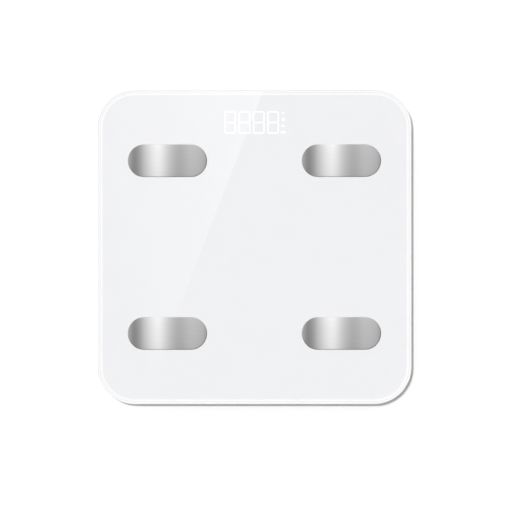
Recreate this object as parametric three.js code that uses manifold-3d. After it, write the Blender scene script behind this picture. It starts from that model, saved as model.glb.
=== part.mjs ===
// A digital bathroom scale with four foot electrodes: a square glass platform bonded to a moulded tray,
// closed from below by a cover. Each corner stands on a foot that presses on a bending-beam load cell.
// Millimetres, +Z up, +Y towards the display. The origin is on the floor, under the middle of the platform.

import * as THREE from "three";
import { mergeVertices } from "three/addons/utils/BufferGeometryUtils.js";
import Module from "manifold-3d";

const wasm = await Module();
wasm.setup();

// ---------------------------------------------------------------- driving dimensions

const PLATFORM = { width: 260, depth: 260, cornerRadius: 31, thickness: 5, topBevel: 1.2, lowerBevel: 0.5 };
const FILM = { margin: 4.1, thickness: 0.25 };
const TAPE = { outerInset: 1.9, thickness: 0.3 };
const ELECTRODE = { length: 65.6, width: 27, height: 0.9, sideInset: 58, endInset: 58.5, roll: 0.75 };
const STUD = { radius: 3, tail: 0.8 };
const NUT = { wall: 1, height: 2.4, tabWidth: 4, tabLength: 6, tabThickness: 0.8, tabSolder: 1.5 };

const PAD = { radius: 15.2, thickness: 2.6, proud: 1.2, chamfer: 1, hollowRadius: 8, hollowDepth: 0.4 };
const CUP = {
  rim: 2.5, wall: 1.8, floor: 1.7, flangeWidth: 1.7, flangeThickness: 1.2, bossRadius: 5, chamfer: 0.8,
};
const FOOT = { edgeInset: 34, standOut: 5, play: 0.8, travel: 0.4 };
const CELL = {
  size: 34, thickness: 2.5, tongueWidth: 14, tongueLength: 19, slot: 3, frame: 5.5, corner: 3,
};
const GAUGE = { length: 12, width: 5, height: 0.8, fromRoot: 2.5 };
const RETAINER = { thickness: 1.2, legWidth: 8, legThickness: 1.6 };

const COVER = { wall: 2, height: 7.7, sideInset: 1.9, bellyInset: 9, collarWall: 1.6 };
const TRAY = {
  plate: 1.7, skirt: 1.8, topInset: 1.3, bottomInset: 1.8, edge: 0.5, rib: 1.6, ribDrop: 3.1, ribClear: 18,
};
const RING = { inset: 0.3, wall: 3.2 };

const BATTERY = { radius: 5.25, length: 43.3, shoulder: 0.6, nubRadius: 1.9, nubLength: 1.2 };
const BAY = { cells: 3, between: 0.8, wall: 1.6, springRoom: 6, ledge: 1.8, curb: 1.6, ribClear: 8 };
const DOOR = {
  thickness: 1.6, rimOverlap: 2, gap: 0.4, cornerRadius: 1.5, swing: 3.4,
  tabWidth: 8, tabSpread: 34, tabReach: 2.5, tabThickness: 1.2, tabLift: 0.15, tabStem: 1.6,
  latchWidth: 10, latchHeight: 0.9, gripWidth: 12, gripPitch: 2.4, gripDepth: 0.5, grips: 3,
  notchWidth: 16, notchReach: 4, notchDepth: 1.2,
};
const CONTACT = {
  thickness: 0.4, width: 8.4, wire: 0.45, coilRadius: 3, turns: 3, strap: 3, tabWidth: 3, tabReach: 3,
};

const DISPLAY = {
  backInset: 26.7, length: 56, width: 22, height: 4.8, wellDepth: 3.5,
  digits: 4, pitch: 11.85, digitWidth: 8.65, digitHeight: 17.8, stroke: 1.2, barGap: 0.5, digitsOffset: 2.4,
  marks: 4, markPitch: 5.4, markLength: 3, markWidth: 1.5, marksOffset: 23.7,
};
const BOARD = {
  length: 90, width: 34, thickness: 1.6, offset: 2.3, cornerRadius: 1.5, screwInset: 7, wireRoom: 12,
};
const CHIP = { size: 10, height: 1.4, place: -10 };
const RADIO = {
  length: 16, width: 12, board: 0.8, can: 1.4, canInset: 1, antenna: 4, edgeInset: 2, offset: 4,
};
const SWITCH = { size: 6, height: 3.5, plungerRadius: 1.75, plungerOut: 0.7, plungerIn: 1.2, place: 32 };
const BUTTON = {
  radius: 4.5, chamfer: 0.5, flangeWidth: 1.5, flangeThickness: 1, recess: 0.2,
  stemRadius: 2.2, travel: 0.5,
};

const SCREW = { headChamfer: 0.6, point: 1, pointRadius: 0.3, recessReach: 0.65, recessDepth: 0.55 };
const CASE_SCREW = {
  shaftRadius: 1.3, headRadius: 2.8, headHeight: 1.9, slot: 0.7, seatDepth: 4.4, fromFoot: 10,
};
const BOARD_SCREW = { shaftRadius: 1.1, headRadius: 2.2, headHeight: 1.4, slot: 0.6 };
const BOSS = { wall: 1.9, pilotShort: 1.2, wellWall: 1.4 };
const LEAD = { radius: 0.7, cableRadius: 1, underBoard: 2, pitch: 2.9, edgeInset: 1.6, fromBay: 3 };

// Gaps between neighbours.
const GAP = {
  bond: 0.1, seat: 0.1, laid: 0.05, thread: 0.1, close: 0.2, slide: 0.3, running: 0.5, battery: 0.4,
};
const SINK = 0.5; // how far a feature is let into the wall it stands on
const PAST = 1; // how far a cutting tool runs past the face it cuts

const ARC_STEPS = 6; // straight pieces in a quarter circle of an outline
const ROUND_STEPS = 24; // sides of a turned piece

// ---------------------------------------------------------------- levels, from the floor up

const Z = {};
Z.cupBottom = PAD.proud;
Z.cupRecess = PAD.thickness + GAP.seat;
Z.coverBottom = FOOT.standOut;
Z.coverFloor = Z.coverBottom + COVER.wall;
Z.coverRim = Z.coverBottom + COVER.height;
Z.flangeBottom = Z.coverFloor + FOOT.play;
Z.flangeTop = Z.flangeBottom + CUP.flangeThickness;
Z.retainerBottom = Z.flangeTop + FOOT.travel + GAP.slide;
Z.retainerTop = Z.retainerBottom + RETAINER.thickness;
Z.cellBottom = Z.retainerTop + GAP.seat;
Z.cellTop = Z.cellBottom + CELL.thickness;
Z.cupBoss = Z.cellBottom - FOOT.travel - GAP.slide;
Z.pressRing = Z.cellTop + GAP.seat;
Z.doorTop = Z.coverBottom + DOOR.thickness;
Z.doorSeat = Z.doorTop + GAP.slide;
Z.batteryAxis = Z.doorTop + GAP.battery + BATTERY.radius;
Z.plateBottom = Z.batteryAxis + BATTERY.radius + GAP.battery;
Z.plateTop = Z.plateBottom + TRAY.plate;
Z.ribBottom = Z.plateBottom - TRAY.ribDrop;
Z.trayRim = Z.coverRim + GAP.slide;
Z.filmBottom = Z.plateTop + GAP.laid;
Z.glassBottom = Z.filmBottom + FILM.thickness + GAP.bond;
Z.glassTop = Z.glassBottom + PLATFORM.thickness;
Z.electrodeBottom = Z.glassTop + GAP.bond;
Z.electrodeTop = Z.electrodeBottom + ELECTRODE.height;
Z.nutTop = Z.plateBottom - GAP.seat;
Z.nutBottom = Z.nutTop - NUT.height;
Z.studEnd = Z.nutBottom - STUD.tail;
Z.displayTop = Z.plateTop - GAP.slide;
Z.boardTop = Z.displayTop - DISPLAY.height;
Z.boardBottom = Z.boardTop - BOARD.thickness;
Z.switchBottom = Z.boardBottom - SWITCH.height;
Z.plungerBottom = Z.switchBottom - SWITCH.plungerOut;
Z.buttonTop = Z.plungerBottom - GAP.seat;
Z.screwSeat = Z.coverBottom + CASE_SCREW.seatDepth;
Z.wellTop = Z.screwSeat + BOSS.wellWall;
Z.gaugeTop = Z.cellTop + GAUGE.height;

// ---------------------------------------------------------------- places in plan

const half = { x: PLATFORM.width / 2, y: PLATFORM.depth / 2 };
const FOOT_AT = { x: half.x - FOOT.edgeInset, y: half.y - FOOT.edgeInset };
const ELECTRODE_AT = { x: half.x - ELECTRODE.sideInset, y: half.y - ELECTRODE.endInset };
const DISPLAY_Y = half.y - DISPLAY.backInset;
const BOARD_Y = DISPLAY_Y - BOARD.offset;
const BOARD_FRONT = BOARD_Y - BOARD.width / 2;
const BOARD_SCREW_AT = { x: BOARD.length / 2 - BOARD.screwInset, y: BOARD_FRONT + BOARD.screwInset };
const BATTERY_LONG = BATTERY.length + BATTERY.nubLength;
const LEAF_ROOM = CONTACT.thickness + 2 * GAP.slide;
const BAY_PITCH = 2 * BATTERY.radius + BAY.between;
const BAY_INSIDE = {
  x: BATTERY_LONG + BAY.springRoom + LEAF_ROOM,
  y: BAY.cells * BAY_PITCH + 2 * GAP.battery,
};
const DOOR_SIZE = { x: BAY_INSIDE.x + 2 * DOOR.rimOverlap, y: BAY_INSIDE.y + 2 * DOOR.rimOverlap };
const BAY_Y = BOARD_FRONT - BOARD.wireRoom - DOOR_SIZE.y / 2;
const LEG_OUT = CELL.size / 2 + GAP.slide + RETAINER.legThickness;
const CASE_SCREW_AT = {
  x: (BOARD.length / 2 + FOOT_AT.x - LEG_OUT) / 2,
  y: FOOT_AT.y + CASE_SCREW.fromFoot,
};
const CUP_RADIUS = PAD.radius + GAP.slide + CUP.rim;
const GAUGE_END = CELL.size / 2 - CELL.frame - GAUGE.fromRoot;
const NUT_RADIUS = (2 * (STUD.radius + NUT.wall)) / Math.sqrt(3);
const CORNERS = [
  { name: "front_left", sx: -1, sy: -1 },
  { name: "front_right", sx: 1, sy: -1 },
  { name: "back_left", sx: -1, sy: 1 },
  { name: "back_right", sx: 1, sy: 1 },
];

// ---------------------------------------------------------------- making and joining solids

// A three.js geometry as a manifold-3d solid with its faces turned outwards.
function solid(geometry) {
  const bare = geometry.index ? geometry.toNonIndexed() : geometry.clone();
  bare.deleteAttribute("normal");
  bare.deleteAttribute("uv");
  const merged = mergeVertices(bare, 1e-4);
  const kept = [];
  for (let i = 0; i < merged.index.count; i += 3) {
    const [a, b, c] = [0, 1, 2].map((k) => merged.index.getX(i + k));
    if (a !== b && b !== c && a !== c) kept.push([a, b, c]);
  }
  const vertProperties = new Float32Array(merged.attributes.position.array);
  const make = (triangles) => {
    const triVerts = new Uint32Array(triangles.flat());
    return new wasm.Manifold(new wasm.Mesh({ numProp: 3, vertProperties, triVerts }));
  };
  const made = make(kept);
  return made.volume() < 0 ? make(kept.map(([a, b, c]) => [a, c, b])) : made;
}

const join = (...solids) => solids.reduce((a, b) => a.add(b));
const cut = (from, ...tools) => tools.reduce((a, b) => a.subtract(b), from);

// A manifold-3d solid as a three.js geometry.
function geometry(made) {
  const mesh = made.getMesh();
  const positions = new Float32Array(mesh.numVert * 3);
  for (let i = 0; i < mesh.numVert; i++) {
    positions.set(mesh.vertProperties.subarray(i * mesh.numProp, i * mesh.numProp + 3), i * 3);
  }
  const indexed = new THREE.BufferGeometry()
    .setAttribute("position", new THREE.BufferAttribute(positions, 3))
    .setIndex(new THREE.BufferAttribute(mesh.triVerts, 1));
  const faceted = indexed.toNonIndexed();
  faceted.computeVertexNormals();
  return faceted;
}

// The points of a rectangle with rounded corners, counter-clockwise.
// A radius of half the depth makes a stadium.
function roundedOutline(width, depth, radius, x = 0, y = 0) {
  const points = [];
  const signs = [[1, 1], [-1, 1], [-1, -1], [1, -1]];
  signs.forEach(([sx, sy], quarter) => {
    for (let i = 0; i <= ARC_STEPS; i++) {
      const angle = ((quarter + i / ARC_STEPS) * Math.PI) / 2;
      const px = x + sx * (width / 2 - radius) + radius * Math.cos(angle);
      const py = y + sy * (depth / 2 - radius) + radius * Math.sin(angle);
      points.push(new THREE.Vector2(px, py));
    }
  });
  return points.filter((p, i) => p.distanceTo(points[(i + 1) % points.length]) > 1e-6);
}

// The platform's own outline, drawn in by an inset.
const platformOutline = (inset) =>
  roundedOutline(PLATFORM.width - 2 * inset, PLATFORM.depth - 2 * inset, PLATFORM.cornerRadius - inset);

// A flat plate of an outline, from one level to another.
function plate(points, z0, z1) {
  const made = new THREE.ExtrudeGeometry(new THREE.Shape(points), { depth: z1 - z0, bevelEnabled: false });
  return solid(made.translate(0, 0, z0));
}

// A convex solid through outlines of equal count, each at its level, lowest first.
function loft(levels) {
  const count = levels[0].points.length;
  const positions = levels.flatMap(({ z, points }) => points.flatMap((p) => [p.x, p.y, z]));
  const index = [];
  for (let level = 0; level + 1 < levels.length; level++) {
    for (let i = 0; i < count; i++) {
      const [a, b] = [level * count + i, level * count + ((i + 1) % count)];
      index.push(a, b, b + count, a, b + count, a + count);
    }
  }
  const top = (levels.length - 1) * count;
  for (let i = 1; i + 1 < count; i++) index.push(0, i + 1, i, top, top + i, top + i + 1);
  const made = new THREE.BufferGeometry();
  made.setAttribute("position", new THREE.Float32BufferAttribute(positions, 3));
  made.setIndex(index);
  return solid(made);
}

// A piece turned about a vertical axis, from [radius, level] pairs that start and end on the axis.
function turned(profile, x = 0, y = 0, steps = ROUND_STEPS) {
  const made = new THREE.LatheGeometry(profile.map(([r, z]) => new THREE.Vector2(r, z)), steps);
  return solid(made.rotateX(Math.PI / 2).translate(x, y, 0));
}

const rod = (radius, z0, z1, x = 0, y = 0, steps = 16) =>
  turned([[0, z0], [radius, z0], [radius, z1], [0, z1]], x, y, steps);

// A box between two corners.
function block([x0, x1], [y0, y1], [z0, z1]) {
  const made = new THREE.BoxGeometry(x1 - x0, y1 - y0, z1 - z0);
  return solid(made.translate((x0 + x1) / 2, (y0 + y1) / 2, (z0 + z1) / 2));
}

// A box by its centre in plan and its two levels.
const pillar = (x, y, sizeX, sizeY, z0, z1) =>
  block([x - sizeX / 2, x + sizeX / 2], [y - sizeY / 2, y + sizeY / 2], [z0, z1]);

// A section swept along a smooth curve through points.
function swept(section, points, steps) {
  const along = points.map((p) => new THREE.Vector3(...p));
  const extrudePath = new THREE.CatmullRomCurve3(along, false, "centripetal");
  const options = { steps, bevelEnabled: false, extrudePath };
  return solid(new THREE.ExtrudeGeometry(new THREE.Shape(section), options));
}

// A regular polygon about the origin.
const polygon = (radius, sides) =>
  Array.from({ length: sides }, (_, i) => {
    const angle = ((i + 0.5) * 2 * Math.PI) / sides;
    return new THREE.Vector2(radius * Math.cos(angle), radius * Math.sin(angle));
  });

// ---------------------------------------------------------------- finishes

function finish(color, roughness, metalness = 0) {
  return new THREE.MeshStandardMaterial({ color, roughness, metalness });
}
const FINISH = {
  glass: new THREE.MeshStandardMaterial({
    color: 0xf4fbf8, roughness: 0.05, transparent: true, opacity: 0.35,
  }),
  whitePrint: finish(0xf2f2f4, 0.4),
  foam: finish(0xffffff, 0.9),
  whiteShell: finish(0xf5f5f5, 0.45),
  brushedSteel: finish(0xbcbcbe, 0.32, 1),
  springSteel: finish(0xa9abad, 0.35, 1),
  cellSteel: finish(0x9da0a3, 0.45, 1),
  brass: finish(0xb79a5a, 0.35, 1),
  rubber: finish(0xe4e4e2, 0.85),
  board: finish(0x1d6b45, 0.6),
  blackPlastic: finish(0x1d1d1f, 0.5),
  cellJacket: finish(0x39434d, 0.35, 0.3),
  leadJacket: finish(0xd9d9d6, 0.6),
};

const scale = new THREE.Group();

// A group inside the scale, at its place in plan, turned about the vertical.
function groupAt(x, y, z = 0, turn = 0) {
  const group = new THREE.Group();
  group.position.set(x, y, z);
  group.rotation.z = turn;
  scale.add(group);
  return group;
}

// A solid as a named mesh with a material of its own.
function add(group, name, made, material) {
  const mesh = new THREE.Mesh(geometry(made), material.clone());
  mesh.name = name;
  group.add(mesh);
  return mesh;
}

// ---------------------------------------------------------------- platform

const studHoles = (radius, z0, z1) =>
  CORNERS.map(({ sx, sy }) => rod(radius, z0, z1, sx * ELECTRODE_AT.x, sy * ELECTRODE_AT.y));

// Toughened glass with a ground bevel all round and one hole under each electrode.
function glassPlatform() {
  const slab = loft([
    { z: Z.glassBottom, points: platformOutline(PLATFORM.lowerBevel) },
    { z: Z.glassBottom + PLATFORM.lowerBevel, points: platformOutline(0) },
    { z: Z.glassTop - PLATFORM.topBevel, points: platformOutline(0) },
    { z: Z.glassTop, points: platformOutline(PLATFORM.topBevel) },
  ]);
  return cut(slab, ...studHoles(STUD.radius + 2 * GAP.running, Z.glassBottom - PAST, Z.glassTop + PAST));
}

// The white printed film behind the glass stops short of the edge, which leaves a clear margin.
function backingFilm() {
  const sheet = plate(platformOutline(FILM.margin), Z.filmBottom, Z.filmBottom + FILM.thickness);
  return cut(sheet, ...studHoles(STUD.radius + 2 * GAP.running, Z.filmBottom - PAST, Z.glassBottom));
}

// White foam tape bonds the glass to the tray under the clear margin.
function bondTape() {
  const top = Z.filmBottom + TAPE.thickness;
  const inner = plate(platformOutline(FILM.margin - GAP.close), Z.filmBottom - PAST, top + PAST);
  return cut(plate(platformOutline(TAPE.outerInset), Z.filmBottom, top), inner);
}

// A pressed steel pad with rolled edges. Its stud passes through the glass and the tray.
function electrode() {
  const rolls = [[0, 0], [0, 0.45], [0.16, 0.72], [0.5, 0.91], [1, 1]];
  const cap = loft(
    rolls.map(([inset, rise]) => {
      const length = ELECTRODE.length - 2 * inset * ELECTRODE.roll;
      const width = ELECTRODE.width - 2 * inset * ELECTRODE.roll;
      const points = roundedOutline(length, width, width / 2);
      return { z: Z.electrodeBottom + rise * ELECTRODE.height, points };
    }),
  );
  return join(cap, rod(STUD.radius, Z.studEnd, Z.electrodeBottom + ELECTRODE.height / 2));
}

// A nut with a solder tab that points along -X.
function electrodeNut() {
  const reach = [-NUT_RADIUS - NUT.tabLength, -STUD.radius];
  const tab = block(reach, [-NUT.tabWidth / 2, NUT.tabWidth / 2], [Z.nutTop - NUT.tabThickness, Z.nutTop]);
  const bore = rod(STUD.radius + GAP.close, Z.nutBottom - PAST, Z.nutTop + PAST);
  return cut(join(plate(polygon(NUT_RADIUS, 6), Z.nutBottom, Z.nutTop), tab), bore);
}

// ---------------------------------------------------------------- feet and load cells

// A soft disc, dished in the middle, glued into the foot's recess.
function footPad() {
  return turned([
    [0, PAD.hollowDepth],
    [PAD.hollowRadius, PAD.hollowDepth],
    [PAD.hollowRadius + PAD.hollowDepth, 0],
    [PAD.radius - PAD.chamfer, 0],
    [PAD.radius, PAD.chamfer],
    [PAD.radius, PAD.thickness],
    [0, PAD.thickness],
  ]);
}

// The cup holds the pad, slides in the cover's hole and presses on the load cell's tongue with its boss.
function footCup() {
  const recess = PAD.radius + GAP.slide;
  const inside = CUP_RADIUS - CUP.wall;
  const floorTop = Z.cupRecess + CUP.floor;
  return turned([
    [0, Z.cupRecess],
    [recess, Z.cupRecess],
    [recess, Z.cupBottom],
    [CUP_RADIUS - CUP.chamfer, Z.cupBottom],
    [CUP_RADIUS, Z.cupBottom + CUP.chamfer],
    [CUP_RADIUS, Z.flangeBottom],
    [CUP_RADIUS + CUP.flangeWidth, Z.flangeBottom],
    [CUP_RADIUS + CUP.flangeWidth, Z.flangeTop],
    [inside, Z.flangeTop],
    [inside, floorTop],
    [CUP.bossRadius + CUP.chamfer, floorTop],
    [CUP.bossRadius, Z.cupBoss],
    [0, Z.cupBoss],
  ]);
}

// A steel plate with a tongue cut free on three sides, its root on the -Y side.
// The potted strain gauges sit at the root.
function loadCell() {
  const strip = (width, from, to, z0, z1) => block([-width / 2, width / 2], [-from, -to], [z0, z1]);
  const root = CELL.size / 2 - CELL.frame;
  const tip = root - CELL.tongueLength;
  const body = plate(roundedOutline(CELL.size, CELL.size, CELL.corner), Z.cellBottom, Z.cellTop);
  const open = CELL.tongueWidth + 2 * CELL.slot;
  const opening = strip(open, root, tip - CELL.slot, Z.cellBottom - PAST, Z.cellTop + PAST);
  const tongue = strip(CELL.tongueWidth, root + SINK, tip, Z.cellBottom, Z.cellTop);
  const gauge = strip(GAUGE.length, GAUGE_END, GAUGE_END - GAUGE.width, Z.cellTop - SINK, Z.gaugeTop);
  return join(cut(body, opening), tongue, gauge);
}

// A clip under the load cell's frame. Its two legs are welded to the tray's plate.
function cellRetainer() {
  const ring = plate(roundedOutline(2 * LEG_OUT, CELL.size, CELL.corner), Z.retainerBottom, Z.retainerTop);
  const legAt = LEG_OUT - RETAINER.legThickness / 2;
  const legTop = Z.plateBottom - GAP.seat;
  const legs = [-1, 1].map((side) =>
    pillar(side * legAt, 0, RETAINER.legThickness, RETAINER.legWidth, Z.retainerBottom, legTop),
  );
  const inside = (CELL.size - CELL.frame) / 2;
  const opening = rod(inside, Z.retainerBottom - PAST, Z.retainerTop + PAST, 0, 0, ROUND_STEPS);
  return cut(join(ring, ...legs), opening);
}

// ---------------------------------------------------------------- tray and cover

// The same upright rod at each corner's place.
const fourRods = (at, radius, z0, z1, steps) =>
  CORNERS.map(({ sx, sy }) => rod(radius, z0, z1, sx * at.x, sy * at.y, steps));

// The two rods of the board's screws.
const boardRods = (radius, z0, z1) =>
  [-1, 1].map((side) => rod(radius, z0, z1, side * BOARD_SCREW_AT.x, BOARD_SCREW_AT.y));

// A square ring stands on the load cell's frame. A notch lets the gauges' cable out.
function trayRing({ sx, sy }) {
  const [x, y] = [sx * FOOT_AT.x, sy * FOOT_AT.y];
  const outside = CELL.size - 2 * RING.inset;
  const inside = outside - 2 * RING.wall;
  const notchAt = y - (sy * (outside + inside)) / 4;
  const ring = pillar(x, y, outside, outside, Z.pressRing, Z.plateBottom + SINK);
  const hollow = pillar(x, y, inside, inside, Z.pressRing - PAST, Z.plateBottom);
  const notch = pillar(x, notchAt, GAUGE.length, RING.wall + PAST, Z.pressRing - PAST, Z.plateBottom);
  return cut(ring, hollow, notch);
}

// Two ribs run along the scale beside the bay and three run across it, clear of the bay and the front feet.
function trayRibs() {
  const levels = [Z.ribBottom, Z.plateBottom + SINK];
  const reach = (size) => size - 2 * (TRAY.bottomInset + TRAY.skirt / 2);
  const backmost = BAY_Y - BAY_INSIDE.y / 2 - BAY.wall - TRAY.ribClear;
  const frontmost = CELL.size / 2 + TRAY.ribClear - FOOT_AT.y;
  const across = [frontmost, (frontmost + backmost) / 2, backmost].map((y) =>
    pillar(0, y, reach(PLATFORM.width), TRAY.rib, ...levels),
  );
  const back = DISPLAY_Y + DISPLAY.width / 2;
  const front = TRAY.bottomInset + TRAY.skirt / 2 - half.y;
  const along = [-1, 1].map((side) =>
    pillar(side * (DOOR_SIZE.x / 2 + BAY.ribClear), (front + back) / 2, TRAY.rib, back - front, ...levels),
  );
  return [...across, ...along];
}

// The tray carries the glass on its plate, and stands on the load cells through its rings.
function topTray() {
  const outer = loft([
    { z: Z.trayRim, points: platformOutline(TRAY.bottomInset) },
    { z: Z.plateTop - TRAY.edge, points: platformOutline(TRAY.topInset) },
    { z: Z.plateTop, points: platformOutline(TRAY.topInset + TRAY.edge) },
  ]);
  const inner = plate(platformOutline(TRAY.bottomInset + TRAY.skirt), Z.trayRim - PAST, Z.plateBottom);
  const caseBoss = CASE_SCREW.shaftRadius + BOSS.wall;
  const bosses = [
    ...fourRods(CASE_SCREW_AT, caseBoss, Z.wellTop + GAP.slide, Z.plateBottom + SINK),
    ...boardRods(BOARD_SCREW.shaftRadius + BOSS.wall, Z.boardTop + GAP.seat, Z.plateBottom + SINK),
  ];
  const pilots = [
    ...fourRods(CASE_SCREW_AT, CASE_SCREW.shaftRadius + GAP.thread, Z.wellTop, Z.plateBottom),
    ...boardRods(BOARD_SCREW.shaftRadius + GAP.thread, Z.boardTop, Z.plateBottom),
  ];
  const length = DISPLAY.length + 4 * GAP.running;
  const width = DISPLAY.width + 4 * GAP.running;
  const window = pillar(0, DISPLAY_Y, length, width, Z.boardTop, Z.plateTop + PAST);
  return cut(
    join(cut(outer, inner), ...CORNERS.map(trayRing), ...trayRibs(), ...bosses),
    window,
    ...pilots,
    ...studHoles(STUD.radius + GAP.running, Z.plateBottom - PAST, Z.plateTop + PAST),
  );
}

// Levels of the cover's rounded belly: from the flat bottom, round a quarter ellipse, up to the rim.
function belly(inset, drop, rim, extra) {
  const rounds = 5;
  const levels = Array.from({ length: rounds + 1 }, (_, i) => {
    const angle = (Math.PI / 2) * (1 - i / rounds);
    const points = platformOutline(inset.side + inset.belly * (1 - Math.cos(angle)));
    return { z: rim - drop * Math.sin(angle), points };
  });
  return loft(extra ? [...levels, { z: rim + extra, points: platformOutline(inset.side) }] : levels);
}

// A block over the bay's inside, grown outwards on all four sides.
const aroundBay = (grow, z0, z1) =>
  pillar(0, BAY_Y, BAY_INSIDE.x + 2 * grow, BAY_INSIDE.y + 2 * grow, z0, z1);

// The cover closes the scale from below. It has holes for the feet, the button and the battery door.
function bottomCover() {
  const outer = belly({ side: COVER.sideInset, belly: COVER.bellyInset }, COVER.height, Z.coverRim);
  const inner = belly(
    { side: COVER.sideInset + COVER.wall, belly: COVER.bellyInset - COVER.wall },
    COVER.height - COVER.wall,
    Z.coverRim,
    PAST,
  );
  const collar = CUP_RADIUS + CUP.flangeWidth + GAP.running;
  const well = CASE_SCREW.headRadius + GAP.running;
  const sunk = Z.coverFloor - SINK;
  const standing = [
    ...fourRods(FOOT_AT, collar + COVER.collarWall, sunk, Z.retainerBottom - GAP.slide, ROUND_STEPS),
    ...fourRods(CASE_SCREW_AT, well + BOSS.wellWall, sunk, Z.wellTop),
    aroundBay(DOOR.rimOverlap + BAY.ledge, sunk, Z.doorSeat + BAY.curb),
    aroundBay(BAY.wall, Z.coverFloor, Z.plateBottom - GAP.slide),
  ];
  const throughFloor = [Z.coverBottom - PAST, Z.coverFloor + PAST];
  const openings = [
    ...fourRods(FOOT_AT, collar, Z.coverFloor, Z.retainerBottom, ROUND_STEPS),
    ...fourRods(FOOT_AT, CUP_RADIUS + GAP.running, ...throughFloor, ROUND_STEPS),
    ...fourRods(CASE_SCREW_AT, well, Z.coverBottom - PAST, Z.screwSeat),
    ...fourRods(CASE_SCREW_AT, CASE_SCREW.shaftRadius + GAP.slide, Z.coverBottom, Z.wellTop + PAST),
    aroundBay(0, Z.coverBottom - PAST, Z.plateBottom),
    aroundBay(DOOR.rimOverlap + DOOR.gap, Z.coverBottom - PAST, Z.doorSeat),
    rod(BUTTON.radius + GAP.battery, ...throughFloor, SWITCH.place, BOARD_Y, ROUND_STEPS),
    contactTab(1, BAY.cells - 1, GAP.slide),
    contactTab(-1, 0, GAP.slide),
  ];
  const notchAt = DOOR_BACK + DOOR.gap + DOOR.notchReach / 2 - PAST;
  const notchLevels = [Z.coverBottom - PAST, Z.coverBottom + DOOR.notchDepth];
  const thumbNotch = pillar(0, notchAt, DOOR.notchWidth, DOOR.notchReach, ...notchLevels);
  const tabRooms = [-1, 1].map(doorTabRoom);
  return cut(join(cut(outer, inner), ...standing), ...openings, thumbNotch, ...tabRooms);
}

// ---------------------------------------------------------------- battery door

const DOOR_FRONT = BAY_Y - DOOR_SIZE.y / 2;
const DOOR_BACK = BAY_Y + DOOR_SIZE.y / 2;

// The room that a hinge tab needs above the cover's floor as the door swings.
function doorTabRoom(side) {
  const [x, wide] = [(side * DOOR.tabSpread) / 2, DOOR.tabWidth / 2 + GAP.slide];
  return block(
    [x - wide, x + wide],
    [DOOR_FRONT - DOOR.tabReach - 2 * GAP.battery, DOOR_FRONT + DOOR.rimOverlap + GAP.battery],
    [Z.doorTop, Z.coverFloor + DOOR.swing],
  );
}

// A tab hooks over the edge of the doorway on a short stem. Measured from the hinge line, as the door is.
function doorTab(side) {
  const x = (side * DOOR.tabSpread) / 2;
  const bottom = COVER.wall + DOOR.tabLift;
  const top = bottom + DOOR.tabThickness;
  const stemAt = DOOR.rimOverlap - DOOR.tabStem / 2;
  const stem = pillar(x, stemAt, DOOR.tabWidth, DOOR.tabStem, DOOR.thickness - SINK, top);
  const spans = [x - DOOR.tabWidth / 2, x + DOOR.tabWidth / 2];
  return join(stem, block(spans, [-DOOR.tabReach, DOOR.rimOverlap], [bottom, top]));
}

// The door lies flush in the cover.
// Two tabs hook over the front edge and a tongue latches inside the back wall.
// Its origin is on the hinge line, the lower front edge.
function batteryDoor() {
  const outline = roundedOutline(DOOR_SIZE.x, DOOR_SIZE.y, DOOR.cornerRadius, 0, DOOR_SIZE.y / 2);
  const panel = plate(outline, 0, DOOR.thickness);
  const latchAt = DOOR_SIZE.y - DOOR.rimOverlap - 2 * GAP.slide - DOOR.tabThickness / 2;
  const latchLevels = [DOOR.thickness - SINK, DOOR.thickness + DOOR.latchHeight];
  const latch = pillar(0, latchAt, DOOR.latchWidth, DOOR.tabThickness, ...latchLevels);
  const grips = Array.from({ length: DOOR.grips }, (_, row) => {
    const y = DOOR_SIZE.y - DOOR.gripPitch * (row + 2);
    return pillar(0, y, DOOR.gripWidth, DOOR.gripPitch / 2, -PAST, DOOR.gripDepth);
  });
  return cut(join(panel, ...[-1, 1].map(doorTab), latch), ...grips);
}

// ---------------------------------------------------------------- batteries and contacts

const batteryRow = (i) => BAY_Y + (i - (BAY.cells - 1) / 2) * BAY_PITCH;
const BATTERY_SHIFT = (BAY.springRoom - LEAF_ROOM) / 2;

// A round cell about its own middle, lying along X with its nub on the +X side.
function battery() {
  const { radius, length, nubRadius, shoulder } = BATTERY;
  const profile = [
    [0, 0],
    [radius - shoulder, 0],
    [radius, shoulder],
    [radius, length - shoulder],
    [radius - shoulder, length],
    [nubRadius, length],
    [nubRadius, BATTERY_LONG],
    [0, BATTERY_LONG],
  ];
  const points = profile.map(([r, along]) => new THREE.Vector2(r, along - BATTERY_LONG / 2));
  return solid(new THREE.LatheGeometry(points, 20).rotateZ(-Math.PI / 2));
}

// The outer face of the contacts on one side of the bay.
const contactWall = (side) => side * (BAY_INSIDE.x / 2 - GAP.slide);

// A flat strip of contact metal against the bay's side wall.
function contactStrip(side, y0, y1, height) {
  const spans = [contactWall(side), contactWall(side) - side * CONTACT.thickness].sort((a, b) => a - b);
  return block(spans, [y0, y1], [Z.batteryAxis - height / 2, Z.batteryAxis + height / 2]);
}

// A square leaf that meets a cell's end.
function contactLeaf(side, row) {
  const y = batteryRow(row);
  return contactStrip(side, y - CONTACT.width / 2, y + CONTACT.width / 2, CONTACT.width);
}

// A conical spring that presses on a cell's flat end.
function contactCoil(side, row) {
  const start = contactWall(side) - (side * CONTACT.thickness) / 2;
  const reach = BAY.springRoom - 2 * GAP.slide - CONTACT.thickness / 2 - CONTACT.wire;
  const perTurn = 8;
  const count = CONTACT.turns * perTurn;
  const points = Array.from({ length: count + 1 }, (_, i) => {
    const angle = (i * 2 * Math.PI) / perTurn;
    const radius = CONTACT.coilRadius * (1 - (0.35 * i) / count);
    return [
      start - (side * reach * i) / count,
      batteryRow(row) + radius * Math.cos(angle),
      Z.batteryAxis + radius * Math.sin(angle),
    ];
  });
  return swept(polygon(CONTACT.wire, 5), points, count);
}

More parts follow.
